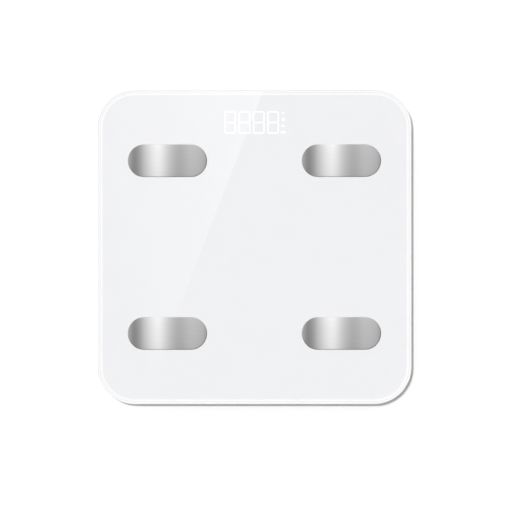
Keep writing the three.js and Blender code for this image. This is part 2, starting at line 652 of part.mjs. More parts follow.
// A solder tab that reaches out through the bay's side wall. A margin makes the slot for it.
function contactTab(side, row, margin = 0) {
  const top = Z.batteryAxis + CONTACT.width / 2 + margin;
  const outside = BAY_INSIDE.x / 2 + BAY.wall + CONTACT.tabReach;
  const spans = [side * (BAY_INSIDE.x / 2 - LEAF_ROOM / 2), side * outside].sort((a, b) => a - b);
  const wide = CONTACT.tabWidth / 2 + margin;
  const bottom = Z.batteryAxis + CONTACT.width / 2 - CONTACT.thickness - margin;
  const levels = [bottom, margin ? Z.plateBottom : top];
  return block(spans, [batteryRow(row) - wide, batteryRow(row) + wide], levels);
}

// A leaf and a coil on one side of the bay, joined by a strip from one cell to the next.
const contactLink = (side, row) =>
  join(
    contactLeaf(side, row),
    contactStrip(side, batteryRow(row), batteryRow(row + 1), CONTACT.strap),
    contactLeaf(side, row + 1),
    contactCoil(side, row + 1),
  );

// The three cells stand in series, front to back.
const contacts = {
  battery_negative_contact: () => join(contactLeaf(-1, 0), contactCoil(-1, 0), contactTab(-1, 0)),
  battery_front_link: () => contactLink(1, 0),
  battery_back_link: () => contactLink(-1, 1),
  battery_positive_contact: () => join(contactLeaf(1, 2), contactTab(1, 2)),
};

// ---------------------------------------------------------------- display and board

// One lit bar: a long hexagon about its own middle, lying along X or Y.
function segmentOutline(x, y, length, alongX) {
  const [l, w] = [length / 2, DISPLAY.stroke / 2];
  const points = [[-l, 0], [-l + w, -w], [l - w, -w], [l, 0], [l - w, w], [-l + w, w]];
  const place = ([u, v]) => (alongX ? new THREE.Vector2(x + u, y + v) : new THREE.Vector2(x - v, y + u));
  return points.map(place);
}

// The seven bars of a digit about the display's middle line, its left bars at x.
function digitOutlines(x) {
  const [w, h] = [DISPLAY.digitWidth, DISPLAY.digitHeight / 2];
  const [short, tall] = [w - DISPLAY.barGap, h - DISPLAY.barGap];
  return [
    ...[-h, 0, h].map((y) => segmentOutline(x + w / 2, y, short, true)),
    ...[0, w].flatMap((dx) => [-h / 2, h / 2].map((y) => segmentOutline(x + dx, y, tall, false))),
  ];
}

// The white light box. Its wells guide the light of each bar, the point and the unit marks up to the film.
function displayBlock() {
  const box = pillar(0, 0, DISPLAY.length, DISPLAY.width, Z.boardTop + GAP.seat, Z.displayTop);
  const [bottom, top] = [Z.displayTop - DISPLAY.wellDepth, Z.displayTop + PAST];
  const rowLength = (DISPLAY.digits - 1) * DISPLAY.pitch + DISPLAY.digitWidth;
  const first = -rowLength / 2 - DISPLAY.digitsOffset;
  const digits = Array.from({ length: DISPLAY.digits }, (_, i) => first + i * DISPLAY.pitch);
  const bars = digits.flatMap(digitOutlines).map((points) => plate(points, bottom, top));
  const pointX = digits[2] - (DISPLAY.pitch - DISPLAY.digitWidth) / 2;
  const point = rod(DISPLAY.stroke / 2, bottom, top, pointX, -DISPLAY.digitHeight / 2, 10);
  const marks = Array.from({ length: DISPLAY.marks }, (_, i) => {
    const y = (i - (DISPLAY.marks - 1) / 2) * DISPLAY.markPitch;
    return pillar(DISPLAY.marksOffset, y, DISPLAY.markLength, DISPLAY.markWidth, bottom, top);
  });
  return cut(box, ...bars, point, ...marks);
}

function mainBoard() {
  const outline = roundedOutline(BOARD.length, BOARD.width, BOARD.cornerRadius, 0, BOARD_Y);
  const holes = boardRods(BOARD_SCREW.shaftRadius + GAP.slide, Z.boardBottom - PAST, Z.boardTop + PAST);
  return cut(plate(outline, Z.boardBottom, Z.boardTop), ...holes);
}

const underBoard = (height) => [Z.boardBottom - GAP.seat - height, Z.boardBottom - GAP.seat];

const controllerChip = () => pillar(0, 0, CHIP.size, CHIP.size, ...underBoard(CHIP.height));

// A small radio board whose shielding can leaves the antenna's end free.
function radioModule() {
  const [bottom, top] = underBoard(RADIO.board + RADIO.can);
  const canLength = RADIO.length - RADIO.antenna - RADIO.canInset;
  const canAt = (RADIO.antenna - RADIO.canInset) / 2;
  const can = pillar(canAt, 0, canLength, RADIO.width - 2 * RADIO.canInset, bottom, top - RADIO.board / 2);
  return join(pillar(0, 0, RADIO.length, RADIO.width, top - RADIO.board, top), can);
}

// ---------------------------------------------------------------- unit button

const plungerTop = Z.switchBottom + SWITCH.plungerIn;

function unitSwitch() {
  const body = pillar(0, 0, SWITCH.size, SWITCH.size, Z.switchBottom, Z.boardBottom - GAP.seat);
  const roof = plungerTop + BUTTON.travel + GAP.slide;
  return cut(body, rod(SWITCH.plungerRadius + GAP.close, Z.switchBottom - PAST, roof));
}

const switchPlunger = () => rod(SWITCH.plungerRadius, Z.plungerBottom, plungerTop);

// The cap shows in the cover's hole, flush with the underside. Its flange keeps it in.
function unitButton() {
  const bottom = Z.coverBottom + BUTTON.recess;
  const flange = Z.coverFloor + GAP.seat;
  const profile = [
    [0, bottom],
    [BUTTON.radius - BUTTON.chamfer, bottom],
    [BUTTON.radius, bottom + BUTTON.chamfer],
    [BUTTON.radius, flange],
    [BUTTON.radius + BUTTON.flangeWidth, flange],
    [BUTTON.radius + BUTTON.flangeWidth, flange + BUTTON.flangeThickness],
    [BUTTON.stemRadius, flange + BUTTON.flangeThickness],
    [BUTTON.stemRadius, Z.buttonTop],
    [0, Z.buttonTop],
  ];
  return turned(profile);
}

// ---------------------------------------------------------------- screws and leads

// A screw driven upwards, with a cross recess in its head.
function screw({ shaftRadius, headRadius, headHeight, slot }, seat) {
  const tip = Z.plateBottom - BOSS.pilotShort;
  const head = seat - headHeight;
  const profile = [
    [0, head],
    [headRadius - SCREW.headChamfer, head],
    [headRadius, head + SCREW.headChamfer],
    [headRadius, seat],
    [shaftRadius, seat],
    [shaftRadius, tip - SCREW.point],
    [SCREW.pointRadius, tip],
    [0, tip],
  ];
  const deep = [head - PAST, head + headHeight * SCREW.recessDepth];
  const across = pillar(0, 0, 2 * headRadius * SCREW.recessReach, slot, ...deep);
  const along = pillar(0, 0, slot, 2 * headRadius * SCREW.recessReach, ...deep);
  return cut(turned(profile, 0, 0, 12), across, along);
}

// A round lead through points, its last stretch soldered under the board's front edge in one of the lanes.
function lead(radius, points, laneX, steps) {
  const level = Z.boardBottom - GAP.seat - radius;
  const end = [[laneX, BOARD_FRONT - 5, level], [laneX, BOARD_FRONT + LEAD.underBoard, level]];
  return swept(polygon(radius, 6), [...points, ...end], steps);
}

// The lanes at the board's edge, counted inwards on each side.
const lane = (side, i) => side * (BOARD.length / 2 - LEAD.edgeInset - i * LEAD.pitch);

// A cable from the gauges, out through the notch in the tray's ring and along under the tray.
function cellLead({ sx, sy }) {
  const [x, y] = [sx * FOOT_AT.x, sy * FOOT_AT.y];
  const high = Z.cellTop + GAP.slide + LEAD.cableRadius;
  const low = Z.boardBottom - GAP.seat - LEAD.cableRadius;
  const out = [GAUGE_END + GAP.slide, CELL.size / 2 + 1].map((distance) => [x, y - sy * distance, high]);
  if (sy > 0) {
    const back = [[x - sx * 8, y - 24, low + 0.8], [sx * 58, y - 20, low]];
    return lead(LEAD.cableRadius, [...out, ...back], lane(sx, 0), 16);
  }
  const run = [[x - sx * 9, y + 33, low + 0.4], [sx * 52, -8, low], [lane(sx, 2), BAY_Y - 8, low]];
  return lead(LEAD.cableRadius, [...out, ...run], lane(sx, 2), 22);
}

// A lead from a nut's tab to the board.
function electrodeLead({ sx, sy }) {
  const x = sx * (ELECTRODE_AT.x - NUT_RADIUS - NUT.tabLength + NUT.tabSolder);
  const y = sy * ELECTRODE_AT.y;
  const start = Z.nutTop - NUT.tabThickness - GAP.seat - LEAD.radius;
  const low = Z.boardBottom - GAP.seat - LEAD.radius;
  const out = [[x, y, start], [x - sx * 4, y, start]];
  if (sy > 0) return lead(LEAD.radius, [...out, [sx * 46, y + 4, low + 0.8]], lane(sx, 1), 12);
  return lead(LEAD.radius, [...out, [sx * 45, y + 17, low], [lane(sx, 3), 0, low]], lane(sx, 3), 18);
}

// A lead from a contact's tab to the board.
function batteryLead(side, row) {
  const x = side * (BAY_INSIDE.x / 2 + BAY.wall + CONTACT.tabReach / 2);
  const start = Z.batteryAxis + CONTACT.width / 2 - CONTACT.thickness - GAP.seat - LEAD.radius;
  const ends = [-1, 1].map((end) => [x, batteryRow(row) + (end * CONTACT.tabWidth) / 2, start]);
  const bend = [x + side, BAY_Y + DOOR_SIZE.y / 2 - 2, Z.boardBottom];
  return lead(LEAD.radius, [...ends, bend], side * (BAY_INSIDE.x / 2 + BAY.wall - LEAD.fromBay), 12);
}

// ---------------------------------------------------------------- the assembly

add(scale, "glass_platform", glassPlatform(), FINISH.glass);
add(scale, "backing_film", backingFilm(), FINISH.whitePrint);
add(scale, "bond_tape", bondTape(), FINISH.foam);
add(scale, "top_tray", topTray(), FINISH.whiteShell);
add(scale, "bottom_cover", bottomCover(), FINISH.whiteShell);

for (const corner of CORNERS) {
  const { name, sx, sy } = corner;
  const contact = groupAt(sx * ELECTRODE_AT.x, sy * ELECTRODE_AT.y, 0, sx > 0 ? 0 : Math.PI);
  add(contact, `electrode_${name}`, electrode(), FINISH.brushedSteel);
  add(contact, `electrode_nut_${name}`, electrodeNut(), FINISH.brass);

  const foot = groupAt(sx * FOOT_AT.x, sy * FOOT_AT.y, 0, sy > 0 ? 0 : Math.PI);
  add(foot, `foot_pad_${name}`, footPad(), FINISH.rubber);
  add(foot, `foot_cup_${name}`, footCup(), FINISH.whiteShell);
  add(foot, `load_cell_${name}`, loadCell(), FINISH.cellSteel);
  add(foot, `cell_retainer_${name}`, cellRetainer(), FINISH.whiteShell);

  add(scale, `cell_lead_${name}`, cellLead(corner), FINISH.leadJacket);
  add(scale, `electrode_lead_${name}`, electrodeLead(corner), FINISH.leadJacket);

  const screwPlace = groupAt(sx * CASE_SCREW_AT.x, sy * CASE_SCREW_AT.y);
  add(screwPlace, `case_screw_${name}`, screw(CASE_SCREW, Z.screwSeat - GAP.seat), FINISH.springSteel);
}

const door = groupAt(0, DOOR_FRONT, Z.coverBottom);
add(door, "battery_door", batteryDoor(), FINISH.whiteShell);

for (let i = 0; i < BAY.cells; i++) {
  const side = i % 2 === 0 ? 1 : -1;
  const row = groupAt(side * BATTERY_SHIFT, batteryRow(i), Z.batteryAxis, side > 0 ? 0 : Math.PI);
  add(row, `battery_${i + 1}`, battery(), FINISH.cellJacket);
}
for (const [name, make] of Object.entries(contacts)) add(scale, name, make(), FINISH.springSteel);
add(scale, "battery_lead_negative", batteryLead(-1, 0), FINISH.leadJacket);
add(scale, "battery_lead_positive", batteryLead(1, BAY.cells - 1), FINISH.leadJacket);

add(scale, "main_board", mainBoard(), FINISH.board);
add(groupAt(0, DISPLAY_Y), "display_block", displayBlock(), FINISH.whiteShell);
add(groupAt(CHIP.place, BOARD_Y), "controller_chip", controllerChip(), FINISH.blackPlastic);
const radioAt = (RADIO.length - BOARD.length) / 2 + RADIO.edgeInset;
add(groupAt(radioAt, BOARD_Y + RADIO.offset), "radio_module", radioModule(), FINISH.springSteel);
for (const [name, side] of [["left", -1], ["right", 1]]) {
  const screwPlace = groupAt(side * BOARD_SCREW_AT.x, BOARD_SCREW_AT.y);
  add(screwPlace, `board_screw_${name}`, screw(BOARD_SCREW, Z.boardBottom - GAP.seat), FINISH.springSteel);
}

const buttonPlace = groupAt(SWITCH.place, BOARD_Y);
add(buttonPlace, "unit_switch", unitSwitch(), FINISH.blackPlastic);
add(buttonPlace, "switch_plunger", switchPlunger(), FINISH.blackPlastic);
add(buttonPlace, "unit_button", unitButton(), FINISH.whiteShell);

export default scale;
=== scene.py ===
"""A square glass bathroom scale that weighs and measures body composition, with its digits lit.

Metres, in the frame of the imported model: the origin is on the floor under the middle of the platform,
+Z is up and +Y points towards the display.
"""

import math

import bmesh
import bpy
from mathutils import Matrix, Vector


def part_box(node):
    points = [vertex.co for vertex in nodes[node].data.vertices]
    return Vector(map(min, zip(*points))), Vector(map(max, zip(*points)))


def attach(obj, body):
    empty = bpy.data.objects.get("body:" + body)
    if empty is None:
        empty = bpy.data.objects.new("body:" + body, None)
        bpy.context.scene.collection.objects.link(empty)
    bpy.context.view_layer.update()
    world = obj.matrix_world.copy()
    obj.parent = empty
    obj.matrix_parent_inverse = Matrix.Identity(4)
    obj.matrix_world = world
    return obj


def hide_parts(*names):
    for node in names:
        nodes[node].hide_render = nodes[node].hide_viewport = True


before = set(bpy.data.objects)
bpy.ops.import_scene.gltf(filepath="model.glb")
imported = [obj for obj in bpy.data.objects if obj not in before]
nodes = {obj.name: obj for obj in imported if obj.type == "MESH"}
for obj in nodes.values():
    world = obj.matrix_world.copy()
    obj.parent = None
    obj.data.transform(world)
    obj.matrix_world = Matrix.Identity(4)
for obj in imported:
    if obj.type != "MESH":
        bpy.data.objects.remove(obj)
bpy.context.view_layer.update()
scene = bpy.context.scene

# ---------------------------------------------------------------- camera
# A very long lens looks almost straight down, so that the platform stays square. It leans a little towards
# the front right corner, which lets the shaded edges there show.

VIEW_WIDTH = 0.4237
LENS = 600.0
AIM = Vector((0.0013, -0.0074, 0.025))
LEAN_RIGHT = math.radians(1.0)
LEAN_FRONT = math.radians(1.0)

camera_data = bpy.data.cameras.new("camera")
camera_data.lens = LENS
camera_data.clip_end = 30
camera = bpy.data.objects.new("camera", camera_data)
scene.collection.objects.link(camera)
scene.camera = camera
towards_camera = Vector((math.tan(LEAN_RIGHT), -math.tan(LEAN_FRONT), 1)).normalized()
camera.location = AIM + towards_camera * (VIEW_WIDTH * LENS / camera_data.sensor_width)
camera.rotation_euler = (LEAN_FRONT, LEAN_RIGHT, 0)

# ---------------------------------------------------------------- studio
# A pale floor and a white tent that is darker towards the front right. One soft light hangs almost
# overhead, and another shines up from below the floor. A long card above gives the glass its gloss.

FLOOR_SIZE = 8.0
FLOOR_COLOUR = (0.78, 0.78, 0.78)
KEY_STRENGTH = 2.4
KEY_LEAN_LEFT = math.radians(4.5)
KEY_LEAN_BACK = math.radians(4.5)
KEY_SPREAD = math.radians(3)
UNDER_STRENGTH = 3.0
UNDER_LEAN = (math.radians(205), math.radians(20), 0)
UNDER_SPREAD = math.radians(30)
ROOM_DARK = 0.10
ROOM_BRIGHT = 1.12
BRIGHT_SIDE = Vector((-0.6, 0.6, 0.53)).normalized()
ROOM_FADE = (-0.5, 0.7)
CARD_HEIGHT = 6.0
CARD_WIDTH = 0.30
GLOSS_EDGE = ((0.0074, 0.130), (-0.0932, -0.130))
CARD_FADE = 0.9
CARD_STRENGTH = 1.6

scene.view_settings.view_transform = "Standard"


def node(tree, kind, **settings):
    """A shader node. A setting is one of its inputs, with _ for a space, or else one of its properties."""
    made = tree.nodes.new(kind)
    for key, value in settings.items():
        label = key.replace("_", " ")
        if label in made.inputs:
            made.inputs[label].default_value = value
        else:
            setattr(made, key, value)
    return made


def finish(name, colour, roughness, metallic=0.0):
    """A new material, its node tree and its surface shader."""
    material = bpy.data.materials.new(name)
    material.use_nodes = True
    tree = material.node_tree
    surface = tree.nodes["Principled BSDF"]
    surface.inputs["Base Color"].default_value = (*colour, 1)
    surface.inputs["Roughness"].default_value = roughness
    surface.inputs["Metallic"].default_value = metallic
    return material, tree, surface


def speckle(tree, scale, stretch=(1, 1, 1), detail=3.0):
    """Noise over the piece's own coordinates, in cells per metre, stretched along its axes."""
    where = node(tree, "ShaderNodeTexCoord")
    place = node(tree, "ShaderNodeMapping", Scale=stretch)
    noise = node(tree, "ShaderNodeTexNoise", Scale=scale, Detail=detail)
    tree.links.new(where.outputs["Object"], place.inputs["Vector"])
    tree.links.new(place.outputs["Vector"], noise.inputs["Vector"])
    return noise.outputs["Fac"]


def sheen(tree, surface, pattern, smooth, rough):
    """The roughness runs from smooth to rough with a pattern."""
    spread = node(tree, "ShaderNodeMapRange", From_Min=0.3, From_Max=0.7, To_Min=smooth, To_Max=rough)
    tree.links.new(pattern, spread.inputs["Value"])
    tree.links.new(spread.outputs["Result"], surface.inputs["Roughness"])


def mixed(tree, share, first, second):
    """A material's surface is one shader mixed with another, by a share."""
    mix = node(tree, "ShaderNodeMixShader")
    tree.links.new(share, mix.inputs["Fac"])
    tree.links.new(first, mix.inputs[1])
    tree.links.new(second, mix.inputs[2])
    tree.links.new(mix.outputs["Shader"], tree.nodes["Material Output"].inputs["Surface"])


def sheet_of(name, width, depth, place, material):
    """A flat rectangle for the studio, by its middle."""
    mesh = bpy.data.meshes.new(name)
    corners = [(sx * width / 2, sy * depth / 2, 0) for sx, sy in ((-1, -1), (1, -1), (1, 1), (-1, 1))]
    mesh.from_pydata(corners, [], [(0, 1, 2, 3)])
    mesh.materials.append(material)
    made = bpy.data.objects.new(name, mesh)
    made.location = place
    scene.collection.objects.link(made)
    return made


floor_paint, tree, surface = finish("pale_floor", FLOOR_COLOUR, 0.9)
sheen(tree, surface, speckle(tree, 40), 0.85, 0.95)
side = node(tree, "ShaderNodeNewGeometry")
clear = node(tree, "ShaderNodeBsdfTransparent")
mixed(tree, side.outputs["Backfacing"], surface.outputs["BSDF"], clear.outputs["BSDF"])
floor = sheet_of("floor", FLOOR_SIZE, FLOOR_SIZE, (0, 0, 0), floor_paint)
floor.visible_diffuse = False
floor.visible_glossy = False
floor.visible_shadow = False


def sun(name, strength, spread, turn):
    """A far, soft light. It leaves no highlight of its own on gloss."""
    data = bpy.data.lights.new(name, "SUN")
    data.energy = strength
    data.angle = spread
    made = bpy.data.objects.new(name, data)
    made.rotation_euler = turn
    made.visible_glossy = False
    scene.collection.objects.link(made)


sun("overhead_light", KEY_STRENGTH, KEY_SPREAD, (-KEY_LEAN_BACK, -KEY_LEAN_LEFT, 0))
sun("under_light", UNDER_STRENGTH, UNDER_SPREAD, UNDER_LEAN)

room = bpy.data.worlds.new("room")
room.use_nodes = True
scene.world = room
tree = room.node_tree
where = node(tree, "ShaderNodeTexCoord")
towards = node(tree, "ShaderNodeVectorMath", operation="DOT_PRODUCT")
towards.inputs[1].default_value = BRIGHT_SIDE
shade = node(tree, "ShaderNodeMapRange", From_Min=ROOM_FADE[0], From_Max=ROOM_FADE[1], To_Min=ROOM_DARK,
             To_Max=ROOM_BRIGHT)
shade.interpolation_type = "SMOOTHSTEP"
seen = node(tree, "ShaderNodeLightPath")
backdrop = node(tree, "ShaderNodeMix")
backdrop.inputs["B"].default_value = 1.0
tree.links.new(where.outputs["Generated"], towards.inputs[0])
tree.links.new(towards.outputs["Value"], shade.inputs["Value"])
tree.links.new(shade.outputs["Result"], backdrop.inputs["A"])
tree.links.new(seen.outputs["Is Camera Ray"], backdrop.inputs["Factor"])
tree.links.new(backdrop.outputs["Result"], tree.nodes["Background"].inputs["Strength"])
tree.nodes["Background"].inputs["Color"].default_value = (1, 1, 1, 1)

card_glow = bpy.data.materials.new("gloss_card")
card_glow.use_nodes = True
tree = card_glow.node_tree
tree.nodes.remove(tree.nodes["Principled BSDF"])
where = node(tree, "ShaderNodeTexCoord")
apart = node(tree, "ShaderNodeSeparateXYZ")
slope = node(tree, "ShaderNodeMapRange", From_Min=1.0, From_Max=0.0, To_Min=0.0, To_Max=CARD_FADE)
left = node(tree, "ShaderNodeMath", operation="SUBTRACT", use_clamp=True)
power = node(tree, "ShaderNodeMath", operation="MULTIPLY")
power.inputs[1].default_value = CARD_STRENGTH
light = node(tree, "ShaderNodeEmission")
clear = node(tree, "ShaderNodeBsdfTransparent")
both = node(tree, "ShaderNodeAddShader")
tree.links.new(where.outputs["Generated"], apart.inputs["Vector"])
tree.links.new(apart.outputs["X"], slope.inputs["Value"])
tree.links.new(apart.outputs["Y"], left.inputs[0])
tree.links.new(slope.outputs["Result"], left.inputs[1])
tree.links.new(left.outputs["Value"], power.inputs[0])
tree.links.new(power.outputs["Value"], light.inputs["Strength"])
tree.links.new(light.outputs["Emission"], both.inputs[0])
tree.links.new(clear.outputs["BSDF"], both.inputs[1])
tree.links.new(both.outputs["Shader"], tree.nodes["Material Output"].inputs["Surface"])


def card_point(x, y):
    """The point at the card's level that the camera sees mirrored at a place on the glass."""
    glass_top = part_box("glass_platform")[1].z
    share = (CARD_HEIGHT - glass_top) / (camera.location.z - glass_top)
    return Vector((x, y)) + (Vector((x, y)) - camera.location.xy) * share


edge_top, edge_low = [card_point(*place) for place in GLOSS_EDGE]
run = edge_top - edge_low
middle = (edge_top + edge_low) / 2 + Vector((-run.y, run.x)).normalized() * CARD_WIDTH / 2
card = sheet_of("gloss_card", CARD_WIDTH, run.length, (*middle, CARD_HEIGHT), card_glow)
card.rotation_euler = (0, 0, -math.atan2(run.x, run.y))
card.visible_camera = False
card.visible_diffuse = False
card.visible_shadow = False

# ---------------------------------------------------------------- bottom cover
# The lower shell, injection moulded in white ABS: a shallow belly with a fine spark-eroded grain. It has
# holes for the feet and the button, wells for its screws, and the walls of the battery bay stand inside.

CORNERS = {"front_left": (-1, -1), "front_right": (1, -1), "back_left": (-1, 1), "back_right": (1, 1)}
HALF_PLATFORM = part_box("glass_platform")[1].x
CORNER_RADIUS = 0.031
CORNER_STEPS = 24
COVER_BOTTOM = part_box("bottom_cover")[0].z
COVER_FLOOR = COVER_BOTTOM + 0.0020
COVER_RIM = COVER_BOTTOM + 0.0077
SIDE_INSET = 0.0019
BELLY_INSET = 0.0090
COVER_WALL = 0.0020
BELLY_STEPS = 12
RIM_EASE = 0.0003
FOOT_HOLE = 0.0185
COLLAR_INSIDE = 0.0202
COLLAR_OUTSIDE = 0.0218
COLLAR_TOP = 0.0094
WELL_RADIUS = 0.0033
WELL_WALL = 0.0014
SCREW_SEAT = 0.0094
SHAFT_HOLE = 0.0016
BUTTON_HOLE = 0.0049
BAY_HALF = Vector((0.02575, 0.01735))
BAY_TOP = 0.0176
BAY_WALL = 0.0016
BAY_CORNER = 0.0005
DOOR_SEAT = 0.0069
DOOR_LAP = 0.0020
DOORWAY_GAP = 0.0004
DOORWAY_HALF = BAY_HALF + Vector((DOOR_LAP + DOORWAY_GAP, DOOR_LAP + DOORWAY_GAP))
DOORWAY_CORNER = 0.0018
CURB_LAP = 0.0038
CURB_TOP = 0.0085
HOOK_AT = 0.0170
NOTCH_HALF = (0.0043, 0.0029)
NOTCH_FORWARD = 0.0005
NOTCH_FLOOR = DOOR_SEAT - 0.0003
NOTCH_TOP = 0.0104
THUMB_HALF = Vector((0.0080, 0.0034))
THUMB_DEPTH = 0.0012
THUMB_STEPS = 9
JOIN_LAP = 0.0005
CUT_PAST = 0.001


def relief(tree, surface, pattern, depth, strength=1.0):
    """The surface rises and falls with a pattern, by about a depth in metres."""
    bump = node(tree, "ShaderNodeBump", Strength=strength, Distance=depth)
    tree.links.new(pattern, bump.inputs["Height"])
    tree.links.new(bump.outputs["Normal"], surface.inputs["Normal"])
    return bump


def tint(tree, surface, pattern, dark, light):
    """The colour runs from dark to light with a pattern."""
    ramp = node(tree, "ShaderNodeValToRGB")
    ramp.color_ramp.elements[0].position = 0.3
    ramp.color_ramp.elements[0].color = (*dark, 1)
    ramp.color_ramp.elements[1].position = 0.7
    ramp.color_ramp.elements[1].color = (*light, 1)
    tree.links.new(pattern, ramp.inputs["Fac"])
    tree.links.new(ramp.outputs["Color"], surface.inputs["Base Color"])


def moulded(name, dark, light, smooth, rough, grain):
    """Moulded plastic: an even colour with a faint drift, and a fine grain in the skin."""
    material, tree, surface = finish(name, light, rough)
    tint(tree, surface, speckle(tree, 60), dark, light)
    sheen(tree, surface, speckle(tree, 900), smooth, rough)
    relief(tree, surface, speckle(tree, 3500, detail=2.0), grain)
    return material


def rounded(half_x, half_y, radius, steps=CORNER_STEPS, middle=(0, 0)):
    """The points of a rectangle with round corners, counter-clockwise."""
    points = []
    for quarter, (sx, sy) in enumerate(((1, 1), (-1, 1), (-1, -1), (1, -1))):
        for i in range(steps + 1):
            angle = (quarter + i / steps) * math.pi / 2
            x = sx * (half_x - radius) + radius * math.cos(angle)
            y = sy * (half_y - radius) + radius * math.sin(angle)
            points.append(Vector((middle[0] + x, middle[1] + y)))
    return [point for i, point in enumerate(points) if (point - points[i - 1]).length > 1e-6]


def circle(x, y, radius, sides=96):
    """The points of a circle, counter-clockwise."""
    turns = [2 * math.pi * i / sides for i in range(sides)]
    return [(x + radius * math.cos(a), y + radius * math.sin(a)) for a in turns]


def at_level(points, z):
    """An outline as a ring of points at a height."""
    return [(x, y, z) for x, y in points]


def platform_ring(inset, z):
    """The platform's outline drawn in by an inset, at a height."""
    half = HALF_PLATFORM - inset
    return at_level(rounded(half, half, CORNER_RADIUS - inset), z)


def stacked(rings, bm=None):
    """A closed skin through rings of equal count, lowest first."""
    bm = bm or bmesh.new()
    rows = [[bm.verts.new(point) for point in ring] for ring in rings]
    count = len(rows[0])
    for low, high in zip(rows, rows[1:]):
        for i in range(count):
            j = (i + 1) % count
            bm.faces.new((low[i], low[j], high[j], high[i]))
    bm.faces.new(rows[0][::-1])
    bm.faces.new(rows[-1])
    return bm


def block(middle, half, z0, z1, bm=None, corner=RIM_EASE):
    """An upright bar with eased corners, by its middle and half sizes in plan and its two levels."""
    outline = rounded(half[0], half[1], corner, 3, middle)
    return stacked([at_level(outline, z) for z in (z0, z1)], bm)


def turned(profile, middle=(0, 0), sides=96, bm=None):
    """A skin turned about an upright line through (radius, height) pairs that start and end on it."""
    bm = bm or bmesh.new()
    rows = []
    for radius, z in profile:
        ring = at_level(circle(*middle, radius, sides), z) if radius else [(*middle, z)]
        rows.append([bm.verts.new(point) for point in ring])
    for low, high in zip(rows, rows[1:]):
        for i in range(sides):
            j = (i + 1) % sides
            around = (low[i % len(low)], low[j % len(low)], high[j % len(high)], high[i % len(high)])
            corners = list(dict.fromkeys(around))
            if len(corners) > 2:
                bm.faces.new(corners)
    return bm


def shaped(made, tool_bm, way="DIFFERENCE"):
    """Cuts a second mesh out of a piece, or joins it on."""
    mesh = bpy.data.meshes.new("tool")
    bmesh.ops.recalc_face_normals(tool_bm, faces=tool_bm.faces)
    tool_bm.to_mesh(mesh)
    tool_bm.free()
    tool = bpy.data.objects.new("tool", mesh)
    scene.collection.objects.link(tool)
    change = made.modifiers.new("change", "BOOLEAN")
    change.operation = way
    change.object = tool
    change.solver = "EXACT"
    bpy.context.view_layer.objects.active = made
    bpy.ops.object.modifier_apply(modifier=change.name)
    bpy.data.objects.remove(tool)


def smooth(made, crisp=math.radians(30)):
    """Shades a piece smoothly up to its crisp edges."""
    made.data.polygons.foreach_set("use_smooth", [True] * len(made.data.polygons))
    made.data.set_sharp_from_angle(angle=crisp)


def piece(name, bm, materials, body="base", crisp=math.radians(30)):
    """A mesh as a named piece with its materials, riding on a body."""
    mesh = bpy.data.meshes.new(name)
    bmesh.ops.recalc_face_normals(bm, faces=bm.faces)
    bm.to_mesh(mesh)
    bm.free()
    for material in materials:
        mesh.materials.append(material)
    made = bpy.data.objects.new(name, mesh)
    scene.collection.objects.link(made)
    smooth(made, crisp)
    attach(made, body)
    return made


def middle_of(name):
    """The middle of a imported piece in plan."""
    low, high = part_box(name)
    return (low.x + high.x) / 2, (low.y + high.y) / 2


def belly(side, reach, bottom, rim):
    """The rings of a rounded belly, from its flat bottom round a quarter ellipse up to its rim."""
    rings = []
    for i in range(BELLY_STEPS + 1):
        angle = math.pi / 2 * (1 - i / BELLY_STEPS)
        inset = side + reach * (1 - math.cos(angle))
        rings.append(platform_ring(inset, rim - (rim - bottom) * math.sin(angle)))
    return rings


def flared(outline_at, top):
    """The rings of a cutter for a hole in the cover: eased at the outer face, then straight up to a level."""
    below = at_level(outline_at(2 * RIM_EASE), COVER_BOTTOM - RIM_EASE)
    return [below, at_level(outline_at(0), COVER_BOTTOM + RIM_EASE), at_level(outline_at(0), top)]


foot_places = {corner: middle_of(f"foot_pad_{corner}") for corner in CORNERS}
case_screw_places = {corner: middle_of(f"case_screw_{corner}") for corner in CORNERS}
bay_middle = middle_of("battery_door")
button_middle = middle_of("unit_button")

white_shell = moulded("white_moulded_shell", (0.583, 0.583, 0.588), (0.597, 0.597, 0.602), 0.36, 0.46,
                      0.00002)
outer = belly(SIDE_INSET, BELLY_INSET, COVER_BOTTOM, COVER_RIM)
cover = piece("cover_shell", stacked(outer), [white_shell])
inner = belly(SIDE_INSET + COVER_WALL, BELLY_INSET - COVER_WALL, COVER_FLOOR, COVER_RIM)
shaped(cover, stacked([*inner, platform_ring(SIDE_INSET + COVER_WALL, COVER_RIM + CUT_PAST)]))

standing = bmesh.new()
sunk = COVER_FLOOR - JOIN_LAP


def post(place, radius, top, sides):
    """A round post standing on the cover's floor."""
    turned([(0, sunk), (radius, sunk), (radius, top), (0, top)], place, sides, standing)


for corner in CORNERS:
    post(foot_places[corner], COLLAR_OUTSIDE, COLLAR_TOP, 96)
    post(case_screw_places[corner], WELL_RADIUS + WELL_WALL, SCREW_SEAT + WELL_WALL, 48)
block(bay_middle, BAY_HALF + Vector((CURB_LAP, CURB_LAP)), sunk, CURB_TOP, standing)
shaped(cover, standing, "UNION")
shaped(cover, block(bay_middle, BAY_HALF + Vector((BAY_WALL, BAY_WALL)), sunk, BAY_TOP), "UNION")

openings = bmesh.new()


def stepped(place, mouth, step, inside, top, sides):
    """A round hole in the cover: eased at its mouth, then of another radius from a step up."""
    ease = [(mouth + 2 * RIM_EASE, COVER_BOTTOM - RIM_EASE), (mouth, COVER_BOTTOM + RIM_EASE)]
    profile = [(0, ease[0][1]), *ease, (mouth, step), (inside, step), (inside, top), (0, top)]
    turned(profile, place, sides, openings)


